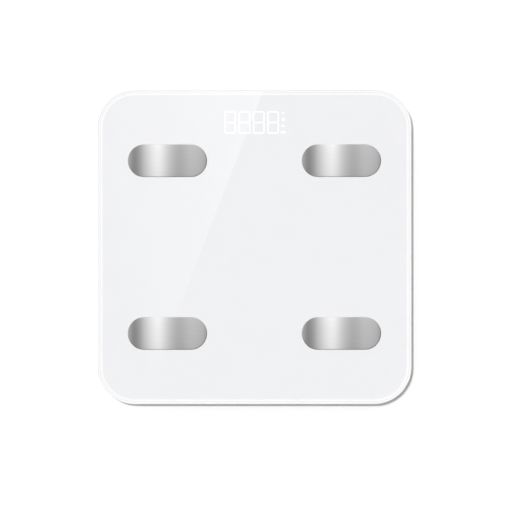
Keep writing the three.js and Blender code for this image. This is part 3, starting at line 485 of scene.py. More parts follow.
for corner in CORNERS:
    stepped(foot_places[corner], FOOT_HOLE, COVER_FLOOR, COLLAR_INSIDE, COLLAR_TOP + CUT_PAST, 96)
    stepped(case_screw_places[corner], WELL_RADIUS, SCREW_SEAT, SHAFT_HOLE, SCREW_SEAT + 3 * WELL_WALL, 36)
stacked(flared(lambda grow: circle(*button_middle, BUTTON_HOLE + grow, 64), COVER_FLOOR + CUT_PAST), openings)
shaped(cover, openings)


def door_outline(half, radius, grow):
    """An outline round the battery bay, by its half sizes and corner radius, grown all round."""
    return rounded(half.x + grow, half.y + grow, radius + grow, 8, bay_middle)


shaped(cover, stacked(flared(lambda grow: door_outline(DOORWAY_HALF, DOORWAY_CORNER, grow), DOOR_SEAT)))
shaped(cover, block(bay_middle, BAY_HALF, COVER_BOTTOM, BAY_TOP + CUT_PAST, corner=BAY_CORNER))

notches = bmesh.new()
door_front = bay_middle[1] - BAY_HALF.y - DOOR_LAP
door_back = bay_middle[1] + BAY_HALF.y + DOOR_LAP
for side in (-1, 1):
    block((side * HOOK_AT, door_front - NOTCH_FORWARD), NOTCH_HALF, NOTCH_FLOOR, NOTCH_TOP, notches)
shaped(cover, notches)
scoop = []
for i in range(THUMB_STEPS):
    turn = math.pi / 2 * i / THUMB_STEPS
    half_x, half_y = (half * math.cos(turn) for half in THUMB_HALF)
    outline = rounded(half_x, half_y, half_y * 0.99, 8, (0, door_back + DOORWAY_GAP))
    scoop.append(at_level(outline, COVER_BOTTOM + THUMB_DEPTH * math.sin(turn)))
shaped(cover, stacked([[(x, y, COVER_BOTTOM - CUT_PAST) for x, y, z in scoop[0]], *scoop]))
smooth(cover)
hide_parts("bottom_cover")

# ---------------------------------------------------------------- feet
# Each foot is a moulded cup that slides in the cover's hole, with a soft pad glued into its face. Fine rings
# turned into the pad's mould keep it from skating on tiles.

PAD_RADIUS = 0.0152
PAD_TOP = 0.0026
PAD_CHAMFER = 0.0010
HOLLOW_RADIUS = 0.0080
HOLLOW_DEPTH = 0.0004
GRIP_RINGS = 6
GRIP_DEPTH = 0.00022
GRIP_GROOVE = ((0.0, 0), (0.15, 1), (0.35, 1), (0.5, 0))
CUP_RADIUS = 0.0180
CUP_BOTTOM = 0.0012
CUP_RECESS = 0.0155
CUP_SEAT = 0.0027
CUP_FLOOR = 0.0044
CUP_INSIDE = 0.0162
CUP_CHAMFER = 0.0008
FLANGE_RADIUS = 0.0197
FLANGE = (0.0078, 0.0090)
CUP_BOSS = 0.0050
CUP_BOSS_TOP = 0.0103


def eased(profile, radius, steps=4):
    """A profile with each inner corner rounded off."""
    points = [Vector(point) for point in profile]
    soft = [points[0]]
    for before, at, after in zip(points, points[1:], points[2:]):
        reach = min(radius, 0.45 * (before - at).length, 0.45 * (after - at).length)
        start = at + (before - at).normalized() * reach
        end = at + (after - at).normalized() * reach
        for i in range(steps + 1):
            share = i / steps
            soft.append(start.lerp(at, share).lerp(at.lerp(end, share), share))
    return [tuple(point) for point in (*soft, points[-1])]


soft_pad, tree, surface = finish("soft_pad", (0.50, 0.50, 0.495), 0.85)
tint(tree, surface, speckle(tree, 900), (0.485, 0.485, 0.48), (0.51, 0.51, 0.505))
sheen(tree, surface, speckle(tree, 1200), 0.72, 0.92)
relief(tree, surface, speckle(tree, 2600), 0.00004)
cup_plastic = moulded("foot_cup_plastic", (0.56, 0.56, 0.565), (0.59, 0.59, 0.595), 0.34, 0.44, 0.000015)

pad_profile = [(0, HOLLOW_DEPTH), (HOLLOW_RADIUS, HOLLOW_DEPTH), (HOLLOW_RADIUS + HOLLOW_DEPTH, 0)]
ring_pitch = (PAD_RADIUS - PAD_CHAMFER - HOLLOW_RADIUS - HOLLOW_DEPTH) / (GRIP_RINGS + 0.5)
for i in range(GRIP_RINGS):
    start = HOLLOW_RADIUS + HOLLOW_DEPTH + (i + 0.5) * ring_pitch
    for share, depth in GRIP_GROOVE:
        pad_profile.append((start + share * ring_pitch, depth * GRIP_DEPTH))
pad_profile += [(PAD_RADIUS - PAD_CHAMFER, 0), (PAD_RADIUS, PAD_CHAMFER), (PAD_RADIUS, PAD_TOP), (0, PAD_TOP)]
cup_profile = [
    (0, CUP_SEAT), (CUP_RECESS, CUP_SEAT), (CUP_RECESS, CUP_BOTTOM), (CUP_RADIUS - CUP_CHAMFER, CUP_BOTTOM),
    (CUP_RADIUS, CUP_BOTTOM + CUP_CHAMFER), (CUP_RADIUS, FLANGE[0]), (FLANGE_RADIUS, FLANGE[0]),
    (FLANGE_RADIUS, FLANGE[1]), (CUP_INSIDE, FLANGE[1]), (CUP_INSIDE, CUP_FLOOR),
    (CUP_BOSS + CUP_CHAMFER, CUP_FLOOR), (CUP_BOSS, CUP_BOSS_TOP), (0, CUP_BOSS_TOP),
]
for corner, place in foot_places.items():
    body = f"foot_{corner}"
    pad = piece(f"grip_pad_{corner}", turned(eased(pad_profile, 0.0001, 2), place), [soft_pad], body)
    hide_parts(f"foot_pad_{corner}")
    cup = piece(f"foot_cup_shell_{corner}", turned(eased(cup_profile, 0.0004), place), [cup_plastic], body)
    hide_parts(f"foot_cup_{corner}")

# ---------------------------------------------------------------- load cells
# Under each corner of the tray lies a punched steel plate with a bending tongue. The strain gauges at the
# tongue's root are potted in white resin. A moulded clip holds the plate up to the tray.

WELD_REACH = 0.000002


def dress(material, *names, crisp=math.radians(35)):
    """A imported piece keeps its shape, is shaded smoothly up to its crisp edges and takes a material."""
    for name in names:
        mesh = nodes[name].data
        mesh.materials.clear()
        mesh.materials.append(material)
        mesh.polygons.foreach_set("use_smooth", [True] * len(mesh.polygons))
        for kind in ("custom_normal", "sharp_edge", "sharp_face"):
            if kind in mesh.attributes:
                mesh.attributes.remove(mesh.attributes[kind])
        nodes[name].modifiers.new("joined", "WELD").merge_threshold = WELD_REACH
        split = nodes[name].modifiers.new("crisp", "EDGE_SPLIT")
        split.split_angle = crisp


def milled(name, dark, light, smooth, rough, stretch=(1, 1, 1)):
    """Bare metal with the marks of its making, stretched along one axis for drawn or rolled stock."""
    material, tree, surface = finish(name, light, rough, 1.0)
    marks = speckle(tree, 300, stretch, 5.0)
    tint(tree, surface, marks, dark, light)
    sheen(tree, surface, marks, smooth, rough)
    relief(tree, surface, marks, 0.000008)
    return material


punched_steel = milled("punched_steel", (0.36, 0.37, 0.38), (0.50, 0.51, 0.52), 0.30, 0.48, (1, 14, 1))
retainer_plastic = moulded("white_clip_plastic", (0.56, 0.56, 0.565), (0.60, 0.60, 0.605), 0.4, 0.5, 0.00002)
for corner in CORNERS:
    dress(punched_steel, f"load_cell_{corner}")
    dress(retainer_plastic, f"cell_retainer_{corner}")

# ---------------------------------------------------------------- unit button
# A small moulded cap under the back, right of the middle, flush with the cover. It pushes the plunger of a
# switch on the board, and a lip inside keeps it from falling out.

BUTTON_RADIUS = 0.0045
BUTTON_FACE = 0.0038
BUTTON_DISH = 0.00035
DISH_STEPS = 6
BUTTON_CHAMFER = 0.0004
LIP_RADIUS = BUTTON_RADIUS + 0.0015
LIP_GAP = 0.0001
LIP_THICKNESS = 0.001
STEM_RADIUS = 0.0022

button_plastic = moulded("grey_cap_plastic", (0.40, 0.405, 0.41), (0.44, 0.445, 0.45), 0.3, 0.4, 0.000012)
black_plastic = moulded("black_moulding", (0.012, 0.012, 0.013), (0.022, 0.022, 0.024), 0.4, 0.55, 0.00001)
button_low, button_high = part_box("unit_button")
button_profile = [(0, button_low.z + BUTTON_DISH)]
for i in range(1, DISH_STEPS + 1):
    share = i / DISH_STEPS
    button_profile.append((BUTTON_FACE * share, button_low.z + BUTTON_DISH * (1 - share**2)))
lip_low = COVER_FLOOR + LIP_GAP
lip_high = lip_low + LIP_THICKNESS
button_profile += [
    (BUTTON_RADIUS, button_low.z + BUTTON_CHAMFER), (BUTTON_RADIUS, lip_low), (LIP_RADIUS, lip_low),
    (LIP_RADIUS, lip_high), (STEM_RADIUS, lip_high), (STEM_RADIUS, button_high.z), (0, button_high.z),
]
button = piece("button_cap", turned(eased(button_profile, 0.0002, 3), button_middle, 64), [button_plastic],
               "unit_button", math.radians(50))
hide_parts("unit_button")
dress(black_plastic, "unit_switch", "switch_plunger", crisp=math.radians(50))

# ---------------------------------------------------------------- main board
# A green glass-fibre board hangs under the tray's plate on two screws. It carries the controller, a radio
# module under a shielding can, the switch and, on top, the white light box of the display.

solder_mask, tree, surface = finish("green_board", (0.02, 0.16, 0.07), 0.4)
tint(tree, surface, speckle(tree, 260, (1, 3, 1), 1.0), (0.010, 0.10, 0.045), (0.022, 0.17, 0.075))
sheen(tree, surface, speckle(tree, 500), 0.3, 0.45)
relief(tree, surface, speckle(tree, 260, (1, 3, 1), 1.0), 0.00003)
shield_can = milled("tinned_shield", (0.50, 0.50, 0.49), (0.62, 0.62, 0.61), 0.25, 0.4, (1, 6, 1))
light_box = moulded("light_box_plastic", (0.66, 0.66, 0.66), (0.70, 0.70, 0.70), 0.4, 0.5, 0.00001)
screw_steel = milled("zinc_plated_screw", (0.42, 0.43, 0.45), (0.60, 0.61, 0.63), 0.22, 0.36)
dress(solder_mask, "main_board")
dress(black_plastic, "controller_chip")
dress(shield_can, "radio_module")
dress(light_box, "display_block")
dress(screw_steel, "board_screw_left", "board_screw_right")

# ---------------------------------------------------------------- batteries and contacts
# Three AAA cells lie side by side in the bay, in series. Conical springs of nickel-plated wire press on
# their flat ends, and leaves of nickel-plated strip meet their nubs.

CELL_RADIUS = 0.00525
CELL_SHOULDER = 0.0006
NUB_RADIUS = 0.0019
NUB_LENGTH = 0.0012
BAND_LENGTH = 0.0105
CRIMP = 0.00025
WIRE_RADIUS = 0.00045
WIRE_SIDES = 12
COIL_RADIUS = 0.0030
COIL_TURNS = 3
COIL_STEPS = 28
COIL_TAPER = 0.35
SPRING_ROOM = 0.0060
SPRING_GAP = 0.0006
CONTACT_GAP = 0.0003
LEAF_THICKNESS = 0.0004
LEAF_HALF = 0.0042
STRAP_HALF = 0.0015


def lying(bm, middle, towards):
    """Lays an upright turned piece along X, its top towards +X or -X, with its foot at a place."""
    x, y, z = middle
    for vert in bm.verts:
        across, along, up = vert.co
        vert.co = (x + towards * up, y + along, z + across)
    return bm


jacket, tree, surface = finish("printed_jacket", (0.03, 0.04, 0.055), 0.32)
tint(tree, surface, speckle(tree, 90), (0.026, 0.035, 0.048), (0.036, 0.047, 0.062))
sheen(tree, surface, speckle(tree, 500), 0.22, 0.34)
relief(tree, surface, speckle(tree, 220, (1, 3, 3)), 0.00001)
band, tree, surface = finish("cell_band", (0.55, 0.33, 0.13), 0.3, 0.8)
tint(tree, surface, speckle(tree, 90), (0.48, 0.28, 0.11), (0.58, 0.36, 0.15))
sheen(tree, surface, speckle(tree, 500), 0.2, 0.32)
nickel = milled("nickel_plate", (0.55, 0.54, 0.52), (0.70, 0.69, 0.66), 0.18, 0.32, (1, 4, 4))

for i in range(3):
    name = f"battery_{i + 1}"
    low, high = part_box(name)
    towards = 1 if i % 2 == 0 else -1
    length = high.x - low.x
    foot = (low.x if towards > 0 else high.x, (low.y + high.y) / 2, (low.z + high.z) / 2)
    body_length = length - NUB_LENGTH
    edge = CELL_RADIUS - CELL_SHOULDER
    profile = [
        (0, 0), (edge - 0.0008, 0), (edge - 0.0006, CRIMP), (edge, CRIMP * 0.4), (CELL_RADIUS, CELL_SHOULDER),
        (CELL_RADIUS, body_length - BAND_LENGTH), (CELL_RADIUS, body_length - CELL_SHOULDER),
        (edge, body_length), (edge - 0.0005, body_length - CRIMP), (NUB_RADIUS + 0.0004, body_length - CRIMP),
        (NUB_RADIUS, body_length), (NUB_RADIUS, length - 0.0002), (NUB_RADIUS - 0.0003, length), (0, length),
    ]
    cell = piece(f"cell_{i + 1}", lying(turned(profile, sides=64), foot, towards), [nickel, jacket, band])
    for face in cell.data.polygons:
        out = math.dist((face.center.y, face.center.z), foot[1:])
        along = abs(face.center.x - foot[0])
        if out > edge:
            face.material_index = 1 if along < body_length - BAND_LENGTH else 2
    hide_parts(name)


def wire_coil(foot, towards, reach, bm):
    """A conical spring of round wire, wound along X from a wide foot."""
    count = COIL_TURNS * COIL_STEPS
    rings = []
    for i in range(count + 1):
        share = i / count
        turn = 2 * math.pi * COIL_TURNS * share
        radius = COIL_RADIUS * (1 - COIL_TAPER * share)
        out = Vector((0, math.cos(turn), math.sin(turn)))
        middle = Vector(foot) + out * radius + Vector((towards * reach * share, 0, 0))
        rings.append([middle + WIRE_RADIUS * (out * math.cos(a) + Vector((1, 0, 0)) * math.sin(a))
                      for a in (2 * math.pi * k / WIRE_SIDES for k in range(WIRE_SIDES))])
    return stacked(rings, bm)


def strip(side, y, half_y, z, half_z, bm):
    """A flat strip of contact metal against the bay's wall on one side."""
    x = side * (BAY_HALF.x - CONTACT_GAP - LEAF_THICKNESS / 2)
    outline = rounded(half_y, half_z, 0.0008, 5, (y, z))
    faces = [[(x + step * LEAF_THICKNESS / 2, v, w) for v, w in outline] for step in (-1, 1)]
    return stacked(faces, bm)


rows = [middle_of(f"battery_{i + 1}")[1] for i in range(3)]
axis_z = (low.z + high.z) / 2
spring_reach = SPRING_ROOM - SPRING_GAP - LEAF_THICKNESS / 2 - WIRE_RADIUS
contacts = {
    "battery_negative_contact": (-1, [0], 0),
    "battery_front_link": (1, [0, 1], 1),
    "battery_back_link": (-1, [1, 2], 2),
    "battery_positive_contact": (1, [2], None),
}
for name, (side, cells, sprung) in contacts.items():
    bm = bmesh.new()
    for row in cells:
        strip(side, rows[row], LEAF_HALF, axis_z, LEAF_HALF, bm)
    made = piece(name.replace("battery", "cell"), bm, [nickel])
    if len(cells) == 2:
        middle = (rows[cells[0]] + rows[cells[1]]) / 2
        span = (rows[cells[1]] - rows[cells[0]]) / 2
        shaped(made, strip(side, middle, span, axis_z, STRAP_HALF, bmesh.new()), "UNION")
    if sprung is not None:
        foot = (side * (BAY_HALF.x - CONTACT_GAP - LEAF_THICKNESS / 2), rows[sprung], axis_z)
        shaped(made, wire_coil(foot, -side, spring_reach, bmesh.new()), "UNION")
    if len(cells) == 1:
        low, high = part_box(name)
        outer = low.x if side < 0 else high.x
        inner = side * (BAY_HALF.x - JOIN_LAP)
        tab = block(((outer + inner) / 2, rows[cells[0]]), (abs(outer - inner) / 2, STRAP_HALF),
                    axis_z + LEAF_HALF - LEAF_THICKNESS, axis_z + LEAF_HALF)
        shaped(made, tab, "UNION")
    smooth(made, math.radians(40))
    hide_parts(name)

# ---------------------------------------------------------------- battery door
# A flat moulded lid, flush in the cover. Two hooks at its front edge reach over the rim of the doorway, a
# tongue latches behind, and three grooves and an arrow show where to push.

DOOR_HALF = BAY_HALF + Vector((DOOR_LAP, DOOR_LAP))
DOOR_CORNER = 0.0015
DOOR_TOP = COVER_BOTTOM + 0.0016
HOOK_MIDDLE = -0.00025
HOOK_HALF = (0.0040, 0.00225)
HOOK_LEVELS = (0.00715, 0.00835)
STEM_MIDDLE = 0.0012
STEM_HALF = (0.0040, 0.0008)
STEM_TOP = 0.0083
LATCH_HALF = (0.0050, 0.0006)
LATCH_BACK = 0.0032
LATCH_RISE = 0.0009
GROOVE_HALF = Vector((0.0060, 0.0006))
GROOVE_PITCH = 0.0024
GROOVE_RINGS = ((0.0003, -0.0003), (-0.0002, 0.0002), (-0.0004, 0.0005))
ARROW = ((-0.0030, -0.0115), (0.0030, -0.0115), (0.0, -0.0150))
ARROW_DEPTH = 0.0003

rings = []
for grow, z in ((-RIM_EASE, COVER_BOTTOM), (0, COVER_BOTTOM + RIM_EASE), (0, DOOR_TOP)):
    rings.append(at_level(door_outline(DOOR_HALF, DOOR_CORNER, grow), z))
door = piece("door_panel", stacked(rings), [white_shell], "battery_door")
for side in (-1, 1):
    stem_at, hook_at = [(side * HOOK_AT, door_front + along) for along in (STEM_MIDDLE, HOOK_MIDDLE)]
    shaped(door, block(stem_at, STEM_HALF, DOOR_TOP - JOIN_LAP, STEM_TOP), "UNION")
    shaped(door, block(hook_at, HOOK_HALF, *HOOK_LEVELS), "UNION")
latch_at = (0, door_back - LATCH_BACK)
shaped(door, block(latch_at, LATCH_HALF, DOOR_TOP - JOIN_LAP, DOOR_TOP + LATCH_RISE), "UNION")
grooves = bmesh.new()
for row in range(3):
    place = (0, door_back - GROOVE_PITCH * (row + 2))
    rings = []
    for grow, rise in GROOVE_RINGS:
        half_x, half_y = (half + grow for half in GROOVE_HALF)
        rings.append(at_level(rounded(half_x, half_y, half_y - 0.00001, 6, place), COVER_BOTTOM + rise))
    stacked(rings, grooves)
arrow = [(x, door_back + y) for x, y in ARROW]
stacked([at_level(arrow, z) for z in (COVER_BOTTOM - CUT_PAST, COVER_BOTTOM + ARROW_DEPTH)], grooves)
shaped(door, grooves)
smooth(door)
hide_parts("battery_door")

# ---------------------------------------------------------------- top tray
# The upper shell, moulded in the same white ABS. The glass is bonded to its plate. Square rings under the
# plate stand on the load cells, and a window lets the display through.

TRAY_RIM = 0.0130
TRAY_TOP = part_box("top_tray")[1].z
PLATE_BOTTOM = TRAY_TOP - 0.0017
TRAY_TOP_INSET = 0.0013
TRAY_RIM_INSET = 0.0018
SKIRT = 0.0018
TRAY_EASE = 0.0005
STUD_PASSAGE = 0.0035
RING_HALF = 0.0167
RING_WALL = 0.0032
RING_NOTCH = 0.006
PRESS_LEVEL = 0.0136
WINDOW_HALF = Vector((0.0290, 0.0120))

electrode_places = {corner: middle_of(f"electrode_{corner}") for corner in CORNERS}
display_middle = middle_of("display_block")
tray_rings = [
    platform_ring(TRAY_RIM_INSET + 0.0002, TRAY_RIM),
    platform_ring(TRAY_RIM_INSET, TRAY_RIM + RIM_EASE),
    platform_ring(TRAY_TOP_INSET, TRAY_TOP - TRAY_EASE),
    platform_ring(TRAY_TOP_INSET + TRAY_EASE * 0.3, TRAY_TOP - TRAY_EASE * 0.3),
    platform_ring(TRAY_TOP_INSET + TRAY_EASE, TRAY_TOP),
]
tray = piece("tray_shell", stacked(tray_rings), [white_shell])
shaped(tray, stacked([platform_ring(TRAY_RIM_INSET + SKIRT, z) for z in (TRAY_RIM - CUT_PAST, PLATE_BOTTOM)]))
for corner, (x, y) in foot_places.items():
    half = Vector((RING_HALF, RING_HALF))
    shaped(tray, block((x, y), half, PRESS_LEVEL, PLATE_BOTTOM + JOIN_LAP), "UNION")
    shaped(tray, block((x, y), half - Vector((RING_WALL, RING_WALL)), PRESS_LEVEL - CUT_PAST, PLATE_BOTTOM))
    notch = (x, y - CORNERS[corner][1] * (RING_HALF - RING_WALL / 2))
    shaped(tray, block(notch, (RING_NOTCH, RING_WALL / 2 + JOIN_LAP), PRESS_LEVEL - CUT_PAST, PLATE_BOTTOM))
holes = bmesh.new()
for place in electrode_places.values():
    hole = circle(*place, STUD_PASSAGE, 48)
    stacked([at_level(hole, z) for z in (PLATE_BOTTOM - CUT_PAST, TRAY_TOP + CUT_PAST)], holes)
block(display_middle, WINDOW_HALF, PLATE_BOTTOM - CUT_PAST, TRAY_TOP + CUT_PAST, holes)
shaped(tray, holes)
smooth(tray)
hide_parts("top_tray")

# ---------------------------------------------------------------- screws, nuts and leads
# Four screws pull the cover up to the tray. A hexagon nut under the plate clamps each electrode's stud and
# takes a soldered lead, and soft silver-grey leads run to the board.

HEAD_RADIUS = 0.0028
HEAD_HEIGHT = 0.0019
HEAD_ROUND = 0.0008
SHAFT_RADIUS = 0.0013
TIP_RADIUS = 0.0003
TIP_LENGTH = 0.001
RECESS_REACH = 0.0018
RECESS_HALF = 0.00035
RECESS_RINGS = ((0, -0.0005), (0.0001, 0.0001), (0.0004, 0.0011))

brass = milled("nut_brass", (0.42, 0.30, 0.12), (0.60, 0.45, 0.20), 0.25, 0.4)
lead_jacket = moulded("silver_grey_jacket", (0.48, 0.48, 0.47), (0.56, 0.56, 0.55), 0.4, 0.55, 0.00001)
for corner in CORNERS:
    dress(brass, f"electrode_nut_{corner}")
    dress(lead_jacket, f"cell_lead_{corner}", f"electrode_lead_{corner}", crisp=math.radians(70))
dress(lead_jacket, "battery_lead_negative", "battery_lead_positive", crisp=math.radians(70))

for corner, place in case_screw_places.items():
    low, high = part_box(f"case_screw_{corner}")
    seat = low.z + HEAD_HEIGHT
    profile = [
        (0, low.z), (HEAD_RADIUS - HEAD_ROUND, low.z), (HEAD_RADIUS - 0.0003, low.z + 0.0003),
        (HEAD_RADIUS, low.z + HEAD_ROUND), (HEAD_RADIUS, seat), (SHAFT_RADIUS, seat),
        (SHAFT_RADIUS, high.z - TIP_LENGTH), (TIP_RADIUS, high.z), (0, high.z),
    ]
    screw = piece(f"cover_screw_{corner}", turned(eased(profile, 0.0002, 3), place, 48), [screw_steel])
    for wide, deep in ((RECESS_REACH, RECESS_HALF), (RECESS_HALF, RECESS_REACH)):
        rings = []
        for shrink, rise in RECESS_RINGS:
            reach = (max(wide - shrink, RECESS_HALF * 0.6), max(deep - shrink, RECESS_HALF * 0.6))
            rings.append(at_level(rounded(*reach, RECESS_HALF * 0.3, 3, place), low.z + rise))
        shaped(screw, stacked(rings))
    smooth(screw, math.radians(40))
    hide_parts(f"case_screw_{corner}")

# ---------------------------------------------------------------- bond tape and backing film
# White foam tape bonds the glass to the tray all round. Inside it lies a film printed white on its back,
# thin enough for the light of the display to come through.

FILM_WHITE = (0.59, 0.59, 0.603)
FILM_CORNER = 0.0259
STUD_HOLE_RADIUS = 0.004


def stud_holes(low, high):
    """The four round holes for the electrodes' studs."""
    bm = bmesh.new()
    for x, y in electrode_places.values():
        hole = circle(x, y, STUD_HOLE_RADIUS, 48)
        stacked([at_level(hole, low), at_level(hole, high)], bm)
    return bm


foam, tree, surface = finish("white_foam_tape", (0.68, 0.68, 0.68), 0.95)
tint(tree, surface, speckle(tree, 1500), (0.64, 0.64, 0.64), (0.70, 0.70, 0.70))
relief(tree, surface, speckle(tree, 2500), 0.00005)
dress(foam, "bond_tape")

film_print, tree, surface = finish("white_printed_film", FILM_WHITE, 0.5)
tint(tree, surface, speckle(tree, 25), [c * 0.995 for c in FILM_WHITE], FILM_WHITE)
sheen(tree, surface, speckle(tree, 400), 0.45, 0.55)
relief(tree, surface, speckle(tree, 1200), 0.000004)

film_low, film_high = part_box("backing_film")
film_outline = rounded(film_high.x, film_high.y, FILM_CORNER)
film = piece("film", stacked([at_level(film_outline, z) for z in (film_low.z, film_high.z)]), [film_print])
shaped(film, stud_holes(film_low.z - CUT_PAST, film_high.z + 0.0001))
smooth(film)
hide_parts("backing_film")

# ---------------------------------------------------------------- lit display
# The light box behind the film throws four seven-bar digits, a decimal point and four unit marks onto it.
# Each bar glows evenly in the white print.

DIGIT_PITCH = 0.01185
DIGIT_WIDTH = 0.00865
DIGIT_HEIGHT = 0.0178
BAR_WIDTH = 0.0011
BAR_GAP = 0.0005
FIRST_DIGIT = -0.0245
MARKS_AT = 0.0237
MARK_PITCH = 0.0054
MARKS = ((0.0019, 0.0010, 0.0004, 4), (0.0017, 0.0007, 0.0007, 6), (0.0012, 0.0012, 0.0004, 4))
LAST_MARK = ((-0.0012, -0.0009), (0.0012, -0.0009), (0, 0.0012))
GLOW_RISE = 0.00002
GLOW = 1.10

display_y = display_middle[1]
glow_z = film_high.z


def bar(x, y, length, along_x):
    """A lit bar: a long hexagon about its middle."""
    l, w = length / 2, BAR_WIDTH / 2
    points = [(-l, 0), (-l + w, -w), (l - w, -w), (l, 0), (l - w, w), (-l + w, w)]
    return [(x + u, y + v) if along_x else (x - v, y + u) for u, v in points]


def digit(x):
    """The seven bars of a digit, its left bars at x."""
    half = DIGIT_HEIGHT / 2
    flat = [bar(x + DIGIT_WIDTH / 2, display_y + dy, DIGIT_WIDTH - BAR_GAP, True) for dy in (-half, 0, half)]
    spots = [(dx, dy) for dx in (0, DIGIT_WIDTH) for dy in (-half / 2, half / 2)]
    return flat + [bar(x + dx, display_y + dy, half - BAR_GAP, False) for dx, dy in spots]


glow = bmesh.new()
shapes = [shape for i in range(4) for shape in digit(FIRST_DIGIT + i * DIGIT_PITCH)]
point_x = FIRST_DIGIT + 2 * DIGIT_PITCH - (DIGIT_PITCH - DIGIT_WIDTH) / 2
shapes.append(circle(point_x, display_y - DIGIT_HEIGHT / 2, BAR_WIDTH / 2, 20))
mark_rows = [display_y + (i - 1.5) * MARK_PITCH for i in range(4)]
shapes += [rounded(*mark, (MARKS_AT, row)) for mark, row in zip(MARKS, mark_rows)]
shapes.append([(MARKS_AT + x, mark_rows[3] + y) for x, y in LAST_MARK])
for shape in shapes:
    stacked([at_level(shape, z) for z in (glow_z, glow_z + GLOW_RISE)], glow)

lit, tree, surface = finish("lit_print", (0.7, 0.7, 0.7), 0.5)
surface.inputs["Emission Color"].default_value = (1, 1, 1, 1)
surface.inputs["Emission Strength"].default_value = GLOW - 1
tint(tree, surface, speckle(tree, 900), (0.65, 0.65, 0.655), (0.67, 0.67, 0.67))
sheen(tree, surface, speckle(tree, 400), 0.45, 0.55)
relief(tree, surface, speckle(tree, 1200), 0.000002)
digits = piece("lit_digits", glow, [lit])

# ---------------------------------------------------------------- glass platform
# A slab of toughened clear glass, 5 mm thick, cut square with round corners. Its top edge is ground to a
# flat bevel and polished, and it is drilled under each electrode before it is toughened.

TOP_BEVEL = 0.0012
LOWER_BEVEL = 0.0005
ARRIS = 0.0002
FILM_MARGIN = 0.0041
PAINTED_SHADE_INSETS = (0.0017, 0.0023)
GLASS_IOR = 1.5

glass_low, glass_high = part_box("glass_platform")

# Clear polished glass: a mirror-smooth skin over a body that lets the light through.
clear_glass, tree, surface = finish("clear_glass", (1, 1, 1), 0.0)
tree.nodes.remove(surface)
through = node(tree, "ShaderNodeBsdfTransparent", Color=(0.997, 0.998, 0.998, 1))
mirror = node(tree, "ShaderNodeBsdfAnisotropic", Roughness=0.004)
angle = node(tree, "ShaderNodeFresnel", IOR=GLASS_IOR)
side = node(tree, "ShaderNodeNewGeometry")
front = node(tree, "ShaderNodeMath", operation="SUBTRACT")
front.inputs[0].default_value = 1.0
gloss = node(tree, "ShaderNodeMath", operation="MULTIPLY")
ripple = node(tree, "ShaderNodeBump", Strength=0.05, Distance=0.00002)
tree.links.new(speckle(tree, 9, detail=1.0), ripple.inputs["Height"])
tree.links.new(ripple.outputs["Normal"], mirror.inputs["Normal"])
tree.links.new(side.outputs["Backfacing"], front.inputs[1])
tree.links.new(angle.outputs["Fac"], gloss.inputs[0])
tree.links.new(front.outputs["Value"], gloss.inputs[1])
mixed(tree, gloss.outputs["Value"], through.outputs["BSDF"], mirror.outputs["BSDF"])

# The ground edge shows the faint green of the glass, and lets light through to what lies below.
ground_edge, tree, surface = finish("ground_glass_edge", (0.62, 0.65, 0.64), 0.15)
tint(tree, surface, speckle(tree, 700), (0.60, 0.63, 0.62), (0.64, 0.67, 0.66))
sheen(tree, surface, speckle(tree, 1500), 0.08, 0.2)
relief(tree, surface, speckle(tree, 2500), 0.00001)
path = node(tree, "ShaderNodeLightPath")
passing = node(tree, "ShaderNodeMath", operation="MAXIMUM")
clear = node(tree, "ShaderNodeBsdfTransparent")
tree.links.new(path.outputs["Is Shadow Ray"], passing.inputs[0])
tree.links.new(path.outputs["Is Diffuse Ray"], passing.inputs[1])
mixed(tree, passing.outputs["Value"], surface.outputs["BSDF"], clear.outputs["BSDF"])

# White enamel baked on under the clear margin, with a fine grey ring of painted shade in it along the tape's
# outer edge.
border_white, tree, surface = finish("white_border", (0.64, 0.64, 0.64), 0.3)
tint(tree, surface, speckle(tree, 40), (0.635, 0.635, 0.635), (0.645, 0.645, 0.645))
sheen(tree, surface, speckle(tree, 400), 0.25, 0.35)
relief(tree, surface, speckle(tree, 1200), 0.000004)
# Painted shade: a fine grey ring laid into the white enamel, standing in for a shaded line at the tape's
# edge.
border_painted_shade, tree, surface = finish("tape_edge_painted_shade", (0.54, 0.54, 0.54), 0.4)
tint(tree, surface, speckle(tree, 300), (0.53, 0.53, 0.53), (0.55, 0.55, 0.55))
sheen(tree, surface, speckle(tree, 400), 0.35, 0.45)
relief(tree, surface, speckle(tree, 1200), 0.000004)

glass_rings = [
    platform_ring(FILM_MARGIN, glass_low.z),
    platform_ring(PAINTED_SHADE_INSETS[1], glass_low.z),
    platform_ring(PAINTED_SHADE_INSETS[0], glass_low.z),
    platform_ring(LOWER_BEVEL, glass_low.z),
    platform_ring(0, glass_low.z + LOWER_BEVEL),
    platform_ring(0, glass_high.z - TOP_BEVEL),
    platform_ring(ARRIS, glass_high.z - TOP_BEVEL + ARRIS),
    platform_ring(TOP_BEVEL - ARRIS / 2, glass_high.z - ARRIS / 2),
    platform_ring(TOP_BEVEL, glass_high.z),
]
CLEAR, GROUND, WHITE, PAINTED_SHADE_LINE = range(4)
skins = (WHITE, PAINTED_SHADE_LINE, WHITE, WHITE, GROUND, GROUND, CLEAR, CLEAR)
bm = stacked(glass_rings)
bm.faces.ensure_lookup_table()
around = len(glass_rings[0])
for i, skin_kind in enumerate(skins):
    for face in bm.faces[i * around:(i + 1) * around]:
        face.material_index = skin_kind
glass = piece("glass", bm, [clear_glass, ground_edge, border_white, border_painted_shade])
shaped(glass, stud_holes(glass_low.z - CUT_PAST, glass_high.z + CUT_PAST))
smooth(glass, math.radians(25))
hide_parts("glass_platform")
